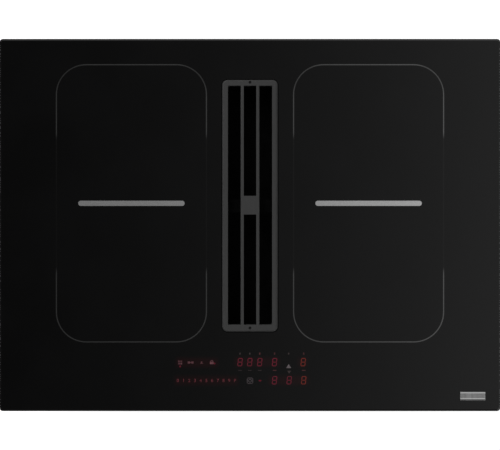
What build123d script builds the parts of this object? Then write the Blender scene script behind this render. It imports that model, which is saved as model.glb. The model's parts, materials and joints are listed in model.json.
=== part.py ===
"""Downdraft induction cooktop: a ceramic glass hob with a vent grille in its middle.

Millimetres. +X is to the right, +Y to the back, +Z up, seen by the cook standing in front.
The origin is the centre of the worktop seat, the plane on which the glass's seal lies.
"""

from build123d import *
import math
import os

os.makedirs("parts", exist_ok=True)

# ------------------------------------------------------------------ driving dimensions
LOW = (Align.CENTER, Align.CENTER, Align.MIN)

# Ceramic glass, its bevelled edge and the foam seal under it
glass_width = 700.0
glass_depth = 520.0
glass_thickness = 4.0
glass_corner = 5.0
bevel_width = 2.5
bevel_height = 1.0
seal_thickness = 2.0
seal_width = 9.0
seal_inset = 4.0
seal_corner = 12.0
seal_inner_corner = 4.0
glass_under = seal_thickness
glass_face = glass_under + glass_thickness

# Printed cooking zones, one tall rounded rectangle and one short bar on each side
zone_x = 165.6
zone_y = 30.3
zone_width = 211.0
zone_length = 388.6
zone_corner = 42.5
print_line = 1.5
print_height = 0.1
zone_bar_length = 148.6
zone_bar_width = 7.2

# Plain metal plate at the front right corner
badge_x = 311.0
badge_y = -239.0
badge_width = 35.4
badge_depth = 12.2
badge_height = 0.8
badge_corner = 1.0
badge_edge = 0.3

# Vent grille
vent_y = 26.9
grille_width = 78.0
grille_length = 352.0
grille_corner = 7.6
grille_round = 2.2
grille_reveal = 0.8
grille_top = glass_face + 1.0
grille_under = -5.0
bar_under = 1.0
slot_length = 333.8
slot_y = 27.7
slot_width = 17.7
slot_x = 22.05
middle_slot_width = 17.4
block_length = 26.0
block_y = 27.7
bar_round = 1.6
dimple_radius = 2.0
dimple_depth = 3.5
dimple_inset = 4.6
rim_corner = 3.0
pad_x = 37.9
pad_pitch = 150.0
pad_width = 1.8
pad_length = 12.0
pad_height = 1.0

# Steel tray that holds the induction parts under the glass
sheet = 1.2
pan_width = 552.0
pan_depth = 482.0
pan_chamfer = 56.0
pan_under = -62.0
pan_floor = pan_under + sheet
pan_rim = 12.0

# Air shaft, the moulded liner between the glass and the air box
shaft_wall = 2.5
shaft_width = 102.0
shaft_length = 371.0
shaft_corner = 10.0
grille_seat = grille_under - pad_height
filter_seat = -16.0
shaft_roof = filter_seat - shaft_wall

# Lift-out grease filter
lip_width = 71.4
lip_length = 344.8
basket_width = 64.0
basket_length = 337.4
basket_under = -58.0
filter_sheet = 1.0
mesh_sheet = 1.4

# Air box under the tray, and the drip tray that slides out below it
box_width = 200.0
box_under = -98.0
tray_front = -156.0
tray_back = -68.0
tray_half = 46.0
tray_under = -138.0
tray_wall = 2.0
slide_gap = 0.4

# Blower: a scroll housing in two halves with a vertical motor
blower_y = 40.0
tongue_radius = 88.0
scroll_step = 12.0
scroll_under = -190.0
scroll_seam = -144.0
scroll_wall = 2.5
seam_lip = 9.0
inlet_radius = 58.0
outlet_x = 51.0
outlet_width = 222.0
outlet_face = 214.0
flare_start = 90.0
flare_end = 196.0
straight_end = 12.0
rest_under = -194.0
impeller_radius = 76.0
impeller_low = -180.0
impeller_high = -110.0
blade_count = 30
motor_radius = 44.0
motor_top = -146.0
shaft_radius = 4.0
running_gap = 0.05

# Outlet spigot for 222 x 89 flat duct, with its non-return flap
spigot_width = 218.0
spigot_height = 85.0
spigot_wall = 2.0
spigot_end = 245.0
flap_y = 222.0
flap_pin_z = -107.5
flap_pin_radius = 2.0

# Induction parts, from the glass down
coil_size = 184.0
coil_pitch = 192.0
coil_eye = 50.0
coil_top = 1.0
coil_under = -5.0
ferrite_under = -10.0
plate_under = -12.0
fan_y = -105.0
fan_size = 92.0
fan_height = 25.0
fan_bore = 43.0
board_y = 35.0
board_width = 190.0
board_depth = 150.0
board_under = -54.0
board_thickness = 1.6

# Touch control behind the glass at the front edge
control_x = -10.0
control_y = -197.0
control_board_under = -8.0
upper_row = -191.5
lower_row = -216.8
digit_places = [
    (-13.9, upper_row),
    (-0.3, upper_row),
    (13.6, upper_row),
    (34.3, upper_row),
    (74.3, upper_row),
    (34.3, lower_row),
    (54.7, lower_row),
    (75.0, lower_row),
]
key_places = [
    (-97.6, -192.0),
    (-82.9, -192.0),
    (-67.6, -192.0),
    (-52.9, -192.0),
    (-92.0, -217.4),
    (-68.0, -217.4),
    (-44.0, -217.4),
    (-24.0, -217.4),
    (0.0, -217.5),
    (54.0, -196.5),
    (54.6, -204.8),
]

# Swing-out clamps at the tray's cut corners
clamp_x = 238.0
clamp_y = 236.0
clamp_reach = 34.0
clamp_screw = 2.5
dog_top = -38.0

# Mains terminal box under the tray
terminal_x = 212.0
terminal_y = 138.0
terminal_width = 80.0
terminal_depth = 84.0
terminal_under = -94.0
gland_z = -79.0
gland_bore = 6.5


def slab(width, depth, corner, low, high, x=0.0, y=0.0, mode=Mode.ADD):
    """Adds or cuts an upright block with rounded corners between two heights."""
    with BuildSketch(Plane.XY.offset(low)) as outline:
        with Locations((x, y)):
            RectangleRounded(width, depth, corner)
    extrude(outline.sketch, amount=high - low, mode=mode)


def block(x, y, z, mode=Mode.ADD):
    """Adds or cuts a square-edged block between a low and a high X, Y and Z."""
    with Locations(((x[0] + x[1]) / 2, (y[0] + y[1]) / 2, (z[0] + z[1]) / 2)):
        Box(x[1] - x[0], y[1] - y[0], z[1] - z[0], mode=mode)


def post(x, y, radius, low, high, mode=Mode.ADD):
    """Adds or cuts an upright round post or hole between two heights."""
    with Locations((x, y, low)):
        Cylinder(radius, high - low, align=LOW, mode=mode)


# ------------------------------------------------------------------ glass and its trim
bevel_angle = math.degrees(math.atan(bevel_width / bevel_height))
opening_width = grille_width + 2 * grille_reveal
opening_length = grille_length + 2 * grille_reveal

with BuildPart() as glass_top:
    slab(glass_width, glass_depth, glass_corner, glass_under, glass_face - bevel_height)
    with BuildSketch(Plane.XY.offset(glass_face - bevel_height)):
        RectangleRounded(glass_width, glass_depth, glass_corner)
    extrude(amount=bevel_height, taper=bevel_angle)
    slab(
        opening_width,
        opening_length,
        grille_corner + grille_reveal,
        glass_under,
        glass_face,
        y=vent_y,
        mode=Mode.SUBTRACT,
    )
glass_top.part.label = "glass_top"
export_step(glass_top.part, "parts/glass_top.step")

seal_outer_width = glass_width - 2 * seal_inset
seal_outer_depth = glass_depth - 2 * seal_inset

with BuildPart() as worktop_seal:
    slab(seal_outer_width, seal_outer_depth, seal_corner, 0, seal_thickness)
    slab(
        seal_outer_width - 2 * seal_width,
        seal_outer_depth - 2 * seal_width,
        seal_inner_corner,
        0,
        seal_thickness,
        mode=Mode.SUBTRACT,
    )
worktop_seal.part.label = "worktop_seal"
export_step(worktop_seal.part, "parts/worktop_seal.step")

with BuildPart() as zone_prints:
    with BuildSketch(Plane.XY.offset(glass_face)):
        with Locations((-zone_x, zone_y), (zone_x, zone_y)):
            RectangleRounded(zone_width, zone_length, zone_corner)
            RectangleRounded(
                zone_width - 2 * print_line,
                zone_length - 2 * print_line,
                zone_corner - print_line,
                mode=Mode.SUBTRACT,
            )
            SlotOverall(zone_bar_length, zone_bar_width)
    extrude(amount=print_height)
zone_prints.part.label = "zone_prints"
export_step(zone_prints.part, "parts/zone_prints.step")

with BuildPart() as badge_plate:
    slab(
        badge_width,
        badge_depth,
        badge_corner,
        glass_face,
        glass_face + badge_height,
        x=badge_x,
        y=badge_y,
    )
    chamfer(badge_plate.faces().sort_by(Axis.Z)[-1].edges(), badge_edge)
badge_plate.part.label = "badge_plate"
export_step(badge_plate.part, "parts/badge_plate.step")

# ------------------------------------------------------------------ vent grille
middle_front = slot_y - slot_length / 2
middle_back = slot_y + slot_length / 2
block_front = block_y - block_length / 2
block_back = block_y + block_length / 2
rim_inner_width = 2 * slot_x + slot_width
middle_half = middle_slot_width / 2
through = (bar_under, grille_top)

with BuildPart() as grille:
    slab(grille_width, grille_length, grille_corner, grille_under, grille_top, y=vent_y)
    fillet(grille.faces().sort_by(Axis.Z)[-1].edges(), grille_round)
    slab(
        rim_inner_width,
        slot_length,
        rim_corner,
        grille_under,
        bar_under,
        y=slot_y,
        mode=Mode.SUBTRACT,
    )
    for side in (-1, 1):
        edge = slot_width / 2
        block(
            (side * slot_x - edge, side * slot_x + edge),
            (middle_front, middle_back),
            through,
            mode=Mode.SUBTRACT,
        )
    block(
        (-middle_half, middle_half),
        (middle_front, block_front),
        through,
        mode=Mode.SUBTRACT,
    )
    block(
        (-middle_half, middle_half),
        (block_back, middle_back),
        through,
        mode=Mode.SUBTRACT,
    )
    top_edges = grille.faces().sort_by(Axis.Z)[-1].edges().filter_by(Axis.Y)
    bar_edge = slot_x - slot_width / 2
    outer_bar_edges = [
        line for line in top_edges if abs(abs(line.center().X) - bar_edge) < 0.1
    ]
    fillet(outer_bar_edges, bar_round)
    with Locations(
        (0, middle_back + dimple_inset, grille_top - dimple_depth),
        (0, middle_front - dimple_inset, grille_top - dimple_depth),
    ):
        Cylinder(dimple_radius, dimple_depth, align=LOW, mode=Mode.SUBTRACT)
grille.part.label = "grille"
export_step(grille.part, "parts/grille.step")

with BuildPart() as grille_pads:
    with Locations((0, vent_y, grille_seat)):
        with GridLocations(2 * pad_x, pad_pitch, 2, 3):
            Box(pad_width, pad_length, pad_height, align=LOW)
grille_pads.part.label = "grille_pads"
export_step(grille_pads.part, "parts/grille_pads.step")

# ------------------------------------------------------------------ air shaft
neck_width = opening_width + 1
neck_length = opening_length + 1
neck_wall = 2.0
neck_corner = 8.0
pocket_width = lip_width + 2
pocket_length = lip_length + 2
pocket_corner = 5.0
throat_width = basket_width + 2
throat_length = basket_length + 2
throat_corner = 4.0
flange_width = 98.0
flange_length = 371.4
flange_low = -1.0
flange_top = 1.0
gasket_step = 1.0

with BuildPart() as air_shaft:
    slab(flange_width, flange_length, shaft_corner, flange_low, flange_top, y=vent_y)
    slab(
        neck_width + 2 * neck_wall,
        neck_length + 2 * neck_wall,
        neck_corner + neck_wall,
        shaft_roof,
        flange_low,
        y=vent_y,
    )
    slab(shaft_width, shaft_length, shaft_corner, pan_under, filter_seat, y=vent_y)
    slab(
        neck_width,
        neck_length,
        neck_corner,
        grille_seat,
        flange_top,
        y=vent_y,
        mode=Mode.SUBTRACT,
    )
    slab(
        pocket_width,
        pocket_length,
        pocket_corner,
        filter_seat,
        grille_seat,
        y=vent_y,
        mode=Mode.SUBTRACT,
    )
    slab(
        throat_width,
        throat_length,
        throat_corner,
        shaft_roof,
        filter_seat,
        y=vent_y,
        mode=Mode.SUBTRACT,
    )
    slab(
        shaft_width - 2 * shaft_wall,
        shaft_length - 2 * shaft_wall,
        shaft_corner - shaft_wall,
        pan_under,
        shaft_roof,
        y=vent_y,
        mode=Mode.SUBTRACT,
    )
air_shaft.part.label = "air_shaft"
export_step(air_shaft.part, "parts/air_shaft.step")

with BuildPart() as shaft_gasket:
    slab(
        flange_width - 2 * gasket_step,
        flange_length - 2 * gasket_step,
        shaft_corner - gasket_step,
        flange_top,
        glass_under,
        y=vent_y,
    )
    slab(
        neck_width + 2 * gasket_step,
        neck_length + 2 * gasket_step,
        neck_corner,
        flange_top,
        glass_under,
        y=vent_y,
        mode=Mode.SUBTRACT,
    )
shaft_gasket.part.label = "shaft_gasket"
export_step(shaft_gasket.part, "parts/shaft_gasket.step")

# ------------------------------------------------------------------ grease filter
window_count = 12
window_pitch = 27.0
window_length = 22.0
window_height = 28.0
window_z = -40.0
basket_corner = 4.0
inner_half = basket_width / 2 - filter_sheet

with BuildPart() as filter_basket:
    slab(
        lip_width,
        lip_length,
        basket_corner,
        filter_seat,
        filter_seat + filter_sheet,
        y=vent_y,
    )
    slab(
        basket_width,
        basket_length,
        basket_corner,
        basket_under,
        filter_seat + filter_sheet,
        y=vent_y,
    )
    slab(
        basket_width - 2 * filter_sheet,
        basket_length - 2 * filter_sheet,
        basket_corner - filter_sheet,
        basket_under + filter_sheet,
        filter_seat + filter_sheet,
        y=vent_y,
        mode=Mode.SUBTRACT,
    )
    with Locations((0, vent_y, window_z)):
        with GridLocations(0, window_pitch, 1, window_count):
            Box(basket_width + 2, window_length, window_height, mode=Mode.SUBTRACT)
filter_basket.part.label = "filter_basket"
export_step(filter_basket.part, "parts/filter_basket.step")

mesh_z = (-56.0, -24.0)
mesh_half = basket_length / 2 - 6
cell_pitch = 9.0
cell_count = 35
cell_length = 6.0
cell_height = 7.0
cell_rows = (-10.0, 0.0, 10.0)
handle_half = 9.0
handle_low = -22.0
handle_top = -8.0
handle_edge = 1.2

with BuildPart() as filter_mesh:
    for side in (-1, 1):
        sheet_x = sorted((side * inner_half, side * (inner_half - mesh_sheet)))
        block(sheet_x, (vent_y - mesh_half, vent_y + mesh_half), mesh_z)
    with Locations((0, vent_y, (mesh_z[0] + mesh_z[1]) / 2)):
        with GridLocations(0, cell_pitch, 1, cell_count):
            for step in cell_rows:
                with Locations((0, 0, step)):
                    Box(basket_width, cell_length, cell_height, mode=Mode.SUBTRACT)
filter_mesh.part.label = "filter_mesh"
export_step(filter_mesh.part, "parts/filter_mesh.step")

with BuildPart() as filter_handle:
    for side in (-1, 1):
        leg_x = sorted((side * inner_half, side * (inner_half - mesh_sheet)))
        block(leg_x, (vent_y - handle_half, vent_y + handle_half), (handle_low, handle_top))
    block(
        (-inner_half, inner_half),
        (vent_y - handle_half, vent_y + handle_half),
        (handle_top - mesh_sheet, handle_top),
    )
    fillet(filter_handle.faces().sort_by(Axis.Z)[-1].edges().filter_by(Axis.Y), handle_edge)
filter_handle.part.label = "filter_handle"
export_step(filter_handle.part, "parts/filter_handle.step")

# ------------------------------------------------------------------ air box and drip tray
box_wall = shaft_wall
box_roof = pan_under - box_wall
box_floor = box_under + box_wall
lug_rows = (-120.0, vent_y, 175.0)
lug_x = 107.0
lug_thickness = 3.0
box_corner = 6.0
screw_radius = 1.7
screw_hole = 1.8
rail_under = -104.5

lug_half = 9.0
drain_half = 42.0
drain_run = (-148.0, -76.0)
rail_inner = 51.4
rail_outer = 54.4
rail_lip = 47.6
rail_lip_height = 3.1

with BuildPart() as air_box:
    slab(box_width, shaft_length, box_corner, box_floor, pan_under, y=vent_y)
    for row in lug_rows:
        block(
            (-lug_x - lug_half, lug_x + lug_half),
            (row - lug_half, row + lug_half),
            (pan_under - lug_thickness, pan_under),
        )
    slab(
        box_width - 2 * box_wall,
        shaft_length - 2 * box_wall,
        box_corner - box_wall,
        box_floor,
        box_roof,
        y=vent_y,
        mode=Mode.SUBTRACT,
    )
    slab(
        shaft_width - 2 * shaft_wall,
        shaft_length - 2 * shaft_wall,
        shaft_corner - shaft_wall,
        box_roof,
        pan_under,
        y=vent_y,
        mode=Mode.SUBTRACT,
    )
    for side in (-1, 1):
        for row in lug_rows:
            post(
                side * lug_x,
                row,
                screw_hole,
                pan_under - lug_thickness,
                pan_under,
                mode=Mode.SUBTRACT,
            )
air_box.part.label = "air_box"
export_step(air_box.part, "parts/air_box.step")

with BuildPart() as air_box_floor:
    slab(box_width, shaft_length, box_corner, box_under, box_floor, y=vent_y)
    post(0, blower_y, inlet_radius, box_under, box_floor, mode=Mode.SUBTRACT)
    block((-drain_half, drain_half), drain_run, (box_under, box_floor), mode=Mode.SUBTRACT)
    for side in (-1, 1):
        web = sorted((side * rail_inner, side * rail_outer))
        lip = sorted((side * rail_lip, side * rail_outer))
        run = (tray_front + slide_gap, tray_back + 2)
        block(web, run, (rail_under, box_under))
        block(lip, run, (rail_under, rail_under + rail_lip_height))
air_box_floor.part.label = "air_box_floor"
export_step(air_box_floor.part, "parts/air_box_floor.step")

tray_top = box_under - slide_gap
tray_sides = (-tray_half, tray_half)
inner_sides = (-tray_half + tray_wall, tray_half - tray_wall)
runner_half = 51.0
runner_height = 2.5
front_half = 56.0
front_skin = 4.0
tray_round = 3.0
pull_half = 30.0
pull_reach = 16.0
pull_skin = 3.0
pull_top = -125.0
pull_under = -134.0
pull_edge = 1.2

with BuildPart() as drip_tray:
    block(tray_sides, (tray_front, tray_back), (tray_under, tray_top))
    block(
        (-runner_half, runner_half),
        (tray_front, tray_back),
        (tray_top - runner_height, tray_top),
    )
    block(
        (-front_half, front_half),
        (tray_front - front_skin, tray_front),
        (tray_under - tray_wall, tray_top),
    )
    fillet(drip_tray.edges().filter_by(Axis.Y).group_by(Axis.Z)[0], tray_round)
    block(
        (-pull_half, pull_half),
        (tray_front - pull_reach, tray_front - front_skin),
        (pull_top - pull_skin, pull_top),
    )
    block(
        (-pull_half, pull_half),
        (tray_front - pull_reach, tray_front - pull_reach + pull_skin),
        (pull_under, pull_top),
    )
    fillet(drip_tray.edges().filter_by(Axis.X).sort_by(Axis.Y)[0:2], pull_edge)
    block(
        inner_sides,
        (tray_front + tray_wall, tray_back - tray_wall),
        (tray_under + tray_wall, tray_top),
        mode=Mode.SUBTRACT,
    )
drip_tray.part.label = "drip_tray"
export_step(drip_tray.part, "parts/drip_tray.step")


# ------------------------------------------------------------------ blower
def scroll_face(grow):
    """Scroll and diffuser outline seen from above, made larger or smaller by grow."""
    first = tongue_radius
    second = first + scroll_step
    third = second + scroll_step
    exit_left = outlet_x - outlet_width / 2
    exit_right = outlet_x + outlet_width / 2
    # The left diffuser wall runs from the tongue to the outlet. Its normal points inwards.
    lean = math.atan2(-exit_left, outlet_face - straight_end - blower_y - first)
    wall_reach = first * math.sin(lean) - grow
    tongue_angle = lean + math.acos(wall_reach / (first + grow))
    left_x = exit_left - grow
    left_y = blower_y + (wall_reach - left_x * math.cos(lean)) / math.sin(lean)
    # The right wall leaves the scroll straight, then flares to the outlet's full width.
    right_x = scroll_step + third
    flare = math.atan2(exit_right - right_x, flare_end - flare_start)
    mitre = grow * math.tan(flare / 2)
    start_degrees = math.degrees(tongue_angle)
    tongue = (
        (first + grow) * math.cos(tongue_angle),
        blower_y + (first + grow) * math.sin(tongue_angle),
    )
    with BuildSketch() as outline:
        with BuildLine():
            CenterArc((0, blower_y), first + grow, start_degrees, 180 - start_degrees)
            CenterArc((scroll_step, blower_y), second + grow, 180, 90)
            CenterArc((scroll_step, blower_y + scroll_step), third + grow, 270, 90)
            Polyline(
                (right_x + grow, blower_y + scroll_step),
                (right_x + grow, flare_start - mitre),
                (exit_right + grow, flare_end - mitre),
                (exit_right + grow, outlet_face),
                (left_x, outlet_face),
                (left_x, left_y),
                tongue,
            )
        make_face()
    return outline.sketch


seam_screws = []
for centre_x, centre_y, radius, angles in (
    (0, blower_y, tongue_radius, (112, 146, 180)),
    (scroll_step, blower_y, tongue_radius + scroll_step, (212, 241, 270)),
    (scroll_step, blower_y + scroll_step, tongue_radius + 2 * scroll_step, (300, 330, 360)),
):
    for angle in angles:
        reach = radius + seam_lip / 2
        seam_screws.append(
            (
                centre_x + reach * math.cos(math.radians(angle)),
                centre_y + reach * math.sin(math.radians(angle)),
            )
        )

seam_plate = 2.5
mouth_half = outlet_width / 2 - scroll_wall
mouth_depth = 10.0
housing_flange = 4.0
inlet_collar_wall = 3.0
inlet_collar_height = 8.5
rest_outer = -4.0
rest_inner = -8.0
spigot_flange_half = 117.0
flange_screw_x = 113.0
flange_screw_z = 25.0
flange_screws = [
    (outlet_x + side * flange_screw_x, scroll_seam + rise)
    for side in (-1, 1)
    for rise in (-flange_screw_z, flange_screw_z)
]


def housing_half(low, high, lip_low, inner_low, inner_high):
    """One half of the scroll housing with its seam lip, outlet flange and screw holes."""
    extrude(scroll_face(0).moved(Location((0, 0, low))), amount=high - low)
    lip = scroll_face(seam_lip).moved(Location((0, 0, lip_low)))
    extrude(lip, amount=seam_plate)
    block(
        (outlet_x - outlet_width, outlet_x + outlet_width),
        (outlet_face - housing_flange, outlet_face + 2 * seam_lip),
        (low - 1, high + 1),
        mode=Mode.SUBTRACT,
    )
    block(
        (outlet_x - spigot_flange_half, outlet_x + spigot_flange_half),
        (outlet_face - housing_flange, outlet_face),
        (low, high),
    )
    inner = scroll_face(-scroll_wall).moved(Location((0, 0, inner_low)))
    extrude(inner, amount=inner_high - inner_low, mode=Mode.SUBTRACT)
    block(
        (outlet_x - mouth_half, outlet_x + mouth_half),
        (outlet_face - mouth_depth, outlet_face + 1),
        (inner_low, inner_high),
        mode=Mode.SUBTRACT,
    )
    for x, y in seam_screws:
        post(x, y, screw_hole, lip_low, lip_low + seam_plate, mode=Mode.SUBTRACT)
    for x, z in flange_screws:
        if low < z < high:
            with Locations(Location((x, outlet_face - housing_flange / 2, z), (90, 0, 0))):
                Cylinder(screw_hole, housing_flange, mode=Mode.SUBTRACT)


with BuildPart() as blower_housing_upper:
    housing_half(
        scroll_seam,
        box_under,
        scroll_seam,
        scroll_seam,
        box_under - scroll_wall,
    )
    collar_low = box_under - inlet_collar_height
    post(0, blower_y, inlet_radius + inlet_collar_wall, collar_low, box_under)
    post(0, blower_y, inlet_radius, collar_low, box_under, mode=Mode.SUBTRACT)
blower_housing_upper.part.label = "blower_housing_upper"
export_step(blower_housing_upper.part, "parts/blower_housing_upper.step")

motor_hole = 46.0
motor_plate_radius = 70.0
motor_screw_circle = 60.0
plate_thickness = 2.0
plate_hole = 8.0
vent_circle = 27.0
vent_count = 8
vent_length = 18.0
vent_width = 5.0

with BuildPart() as blower_housing_lower:
    housing_half(
        scroll_under,
        scroll_seam,
        scroll_seam - seam_plate,
        scroll_under + scroll_wall,
        scroll_seam,
    )
    rest_height = scroll_under - rest_under
    rest = scroll_face(rest_outer).moved(Location((0, 0, rest_under)))
    extrude(rest, amount=rest_height)
    rim_cut = scroll_face(rest_inner).moved(Location((0, 0, rest_under)))
    extrude(rim_cut, amount=rest_height, mode=Mode.SUBTRACT)
    post(
        0,
        blower_y,
        motor_hole,
        scroll_under,
        scroll_under + scroll_wall,
        mode=Mode.SUBTRACT,
    )
    with Locations((0, blower_y, scroll_under)):
        with PolarLocations(motor_screw_circle, 4, start_angle=45):
            Cylinder(screw_hole, scroll_wall, align=LOW, mode=Mode.SUBTRACT)
blower_housing_lower.part.label = "blower_housing_lower"
export_step(blower_housing_lower.part, "parts/blower_housing_lower.step")

hub_outer = 50.0
hub_inner = 47.5
hub_roof = -142.5
hub_skin = hub_outer - hub_inner
boss_radius = 9.0
boss_top = hub_roof + 20
rim_plate = 2.0
rim_reach = 6.0
blade_circle = 68.5
blade_chord = 15.0
blade_skin = 1.5
blade_turn = -38.0

with BuildPart() as impeller:
    post(0, blower_y, impeller_radius, impeller_low, impeller_low + rim_plate)
    post(0, blower_y, hub_outer, impeller_low, hub_roof + hub_skin)
    post(0, blower_y, hub_inner, impeller_low, hub_roof, mode=Mode.SUBTRACT)
    post(0, blower_y, boss_radius, hub_roof + hub_skin, boss_top)
    post(0, blower_y, impeller_radius, impeller_high - rim_plate, impeller_high)
    post(
        0,
        blower_y,
        impeller_radius - rim_reach,
        impeller_high - rim_plate,
        impeller_high,
        mode=Mode.SUBTRACT,
    )
    with BuildSketch(Plane.XY.offset(impeller_low + rim_plate)) as blades:
        with Locations((0, blower_y)):
            with PolarLocations(blade_circle, blade_count):
                Rectangle(blade_chord, blade_skin, rotation=blade_turn)
    extrude(blades.sketch, amount=impeller_high - impeller_low - 2 * rim_plate)
    post(0, blower_y, shaft_radius, hub_roof, boss_top, mode=Mode.SUBTRACT)
impeller.part.label = "impeller"
export_step(impeller.part, "parts/impeller.step")

shaft_end = -188.0
with BuildPart() as motor_shaft:
    post(0, blower_y, shaft_radius, shaft_end, boss_top + 4)
motor_shaft.part.label = "motor_shaft"
export_step(motor_shaft.part, "parts/motor_shaft.step")

bearing_radius = 11.0
bearing_width = 7.0
case_skin = 2.0
case_cap = 3.0
case_hole = 6.0
low_bearing = scroll_under + case_cap
high_bearing = motor_top - case_cap - bearing_width
stator_run = (-178.0, -158.0)
stator_bore = 26.0

with BuildPart() as motor_case:
    post(0, blower_y, motor_radius, scroll_under, motor_top)
    post(
        0,
        blower_y,
        motor_radius - case_skin,
        low_bearing,
        motor_top - case_cap,
        mode=Mode.SUBTRACT,
    )
    for low in (low_bearing, high_bearing):
        post(0, blower_y, bearing_radius + case_cap, low, low + bearing_width)
        post(
            0,
            blower_y,
            bearing_radius,
            low,
            low + bearing_width,
            mode=Mode.SUBTRACT,
        )
    post(0, blower_y, case_hole, scroll_under, motor_top, mode=Mode.SUBTRACT)
    fillet(motor_case.faces().sort_by(Axis.Z)[-1].outer_wire().edges(), case_skin)
motor_case.part.label = "motor_case"
export_step(motor_case.part, "parts/motor_case.step")

with BuildPart() as motor_stator:
    post(0, blower_y, motor_radius - case_skin, *stator_run)
    post(0, blower_y, stator_bore, *stator_run, mode=Mode.SUBTRACT)
motor_stator.part.label = "motor_stator"
export_step(motor_stator.part, "parts/motor_stator.step")

with BuildPart() as motor_bearings:
    for low in (low_bearing, high_bearing):
        post(0, blower_y, bearing_radius, low, low + bearing_width)
    post(
        0,
        blower_y,
        shaft_radius + running_gap,
        low_bearing,
        motor_top,
        mode=Mode.SUBTRACT,
    )
motor_bearings.part.label = "motor_bearings"
export_step(motor_bearings.part, "parts/motor_bearings.step")

with BuildPart() as motor_plate:
    post(
        0,
        blower_y,
        motor_plate_radius,
        scroll_under - plate_thickness,
        scroll_under,
    )
    with Locations((0, blower_y, scroll_under - plate_thickness)):
        Cylinder(plate_hole, plate_thickness, align=LOW, mode=Mode.SUBTRACT)
        with PolarLocations(motor_screw_circle, 4, start_angle=45):
            Cylinder(screw_hole, plate_thickness, align=LOW, mode=Mode.SUBTRACT)
    with BuildSketch(Plane.XY.offset(scroll_under - plate_thickness)) as cooling:
        with Locations((0, blower_y)):
            with PolarLocations(vent_circle, vent_count):
                SlotOverall(vent_length, vent_width)
    extrude(cooling.sketch, amount=plate_thickness, mode=Mode.SUBTRACT)
motor_plate.part.label = "motor_plate"
export_step(motor_plate.part, "parts/motor_plate.step")

# ------------------------------------------------------------------ outlet and its flap
outlet_plane = Plane(origin=(outlet_x, outlet_face, scroll_seam), x_dir=(1, 0, 0), z_dir=(0, 1, 0))
flange_thickness = 3.0
flange_corner = 3.0
spigot_corner = 4.0

with BuildPart() as outlet_spigot:
    with BuildSketch(outlet_plane):
        RectangleRounded(2 * spigot_flange_half, box_under - scroll_under, flange_corner)
    extrude(amount=flange_thickness)
    with BuildSketch(outlet_plane):
        RectangleRounded(spigot_width, spigot_height, spigot_corner)
    extrude(amount=spigot_end - outlet_face)
    with BuildSketch(outlet_plane):
        RectangleRounded(
            spigot_width - 2 * spigot_wall,
            spigot_height - 2 * spigot_wall,
            spigot_corner - spigot_wall,
        )
    extrude(amount=spigot_end - outlet_face, mode=Mode.SUBTRACT)
    with Locations(Location((outlet_x, flap_y, flap_pin_z), (0, 90, 0))):
        Cylinder(flap_pin_radius + running_gap, spigot_width + 2, mode=Mode.SUBTRACT)
    for x, z in flange_screws:
        with Locations(Location((x, outlet_face + flange_thickness / 2, z), (90, 0, 0))):
            Cylinder(screw_hole, flange_thickness, mode=Mode.SUBTRACT)
outlet_spigot.part.label = "outlet_spigot"
export_step(outlet_spigot.part, "parts/outlet_spigot.step")

flap_gap = 0.6
flap_half = spigot_width / 2 - spigot_wall - flap_gap
flap_low = scroll_seam - spigot_height / 2 + spigot_wall + flap_gap
flap_skin = 1.5
flap_corner = 4.0
knuckle_radius = 3.5
knuckle_inset = 2.5

with BuildPart() as outlet_flap:
    block(
        (outlet_x - flap_half, outlet_x + flap_half),
        (flap_y - flap_skin / 2, flap_y + flap_skin / 2),
        (flap_low, flap_pin_z),
    )
    fillet(outlet_flap.edges().filter_by(Axis.Y).group_by(Axis.Z)[0], flap_corner)
    with Locations(Location((outlet_x, flap_y, flap_pin_z), (0, 90, 0))):
        Cylinder(knuckle_radius, 2 * (flap_half - knuckle_inset))
        Cylinder(flap_pin_radius, 2 * flap_half + 2, mode=Mode.SUBTRACT)
outlet_flap.part.label = "outlet_flap"
export_step(outlet_flap.part, "parts/outlet_flap.step")

with BuildPart() as flap_pin:
    with Locations(Location((outlet_x, flap_y, flap_pin_z), (0, 90, 0))):
        Cylinder(flap_pin_radius, spigot_width - 0.4)
flap_pin.part.label = "flap_pin"
export_step(flap_pin.part, "parts/flap_pin.step")


# ------------------------------------------------------------------ steel tray
def pan_face(shrink):
    """Tray outline with its four cut corners, made smaller all round by shrink."""
    with BuildSketch() as outline:
        Rectangle(pan_width, pan_depth)
        chamfer(outline.vertices(), pan_chamfer)
        if shrink:
            offset(amount=-shrink, kind=Kind.INTERSECTION)
    return outline.sketch


fan_slot_pitch = 9.0
fan_slot_width = 4.5
louvre_pitch = 12.0
louvre_width = 4.0
louvre_height = 30.0
louvre_z = -34.0
side_louvres = 18
back_louvres = 10
back_louvre_x = 140.0
board_inset = 7.0
board_post = 4.0
wire_hole = 12.0

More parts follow.
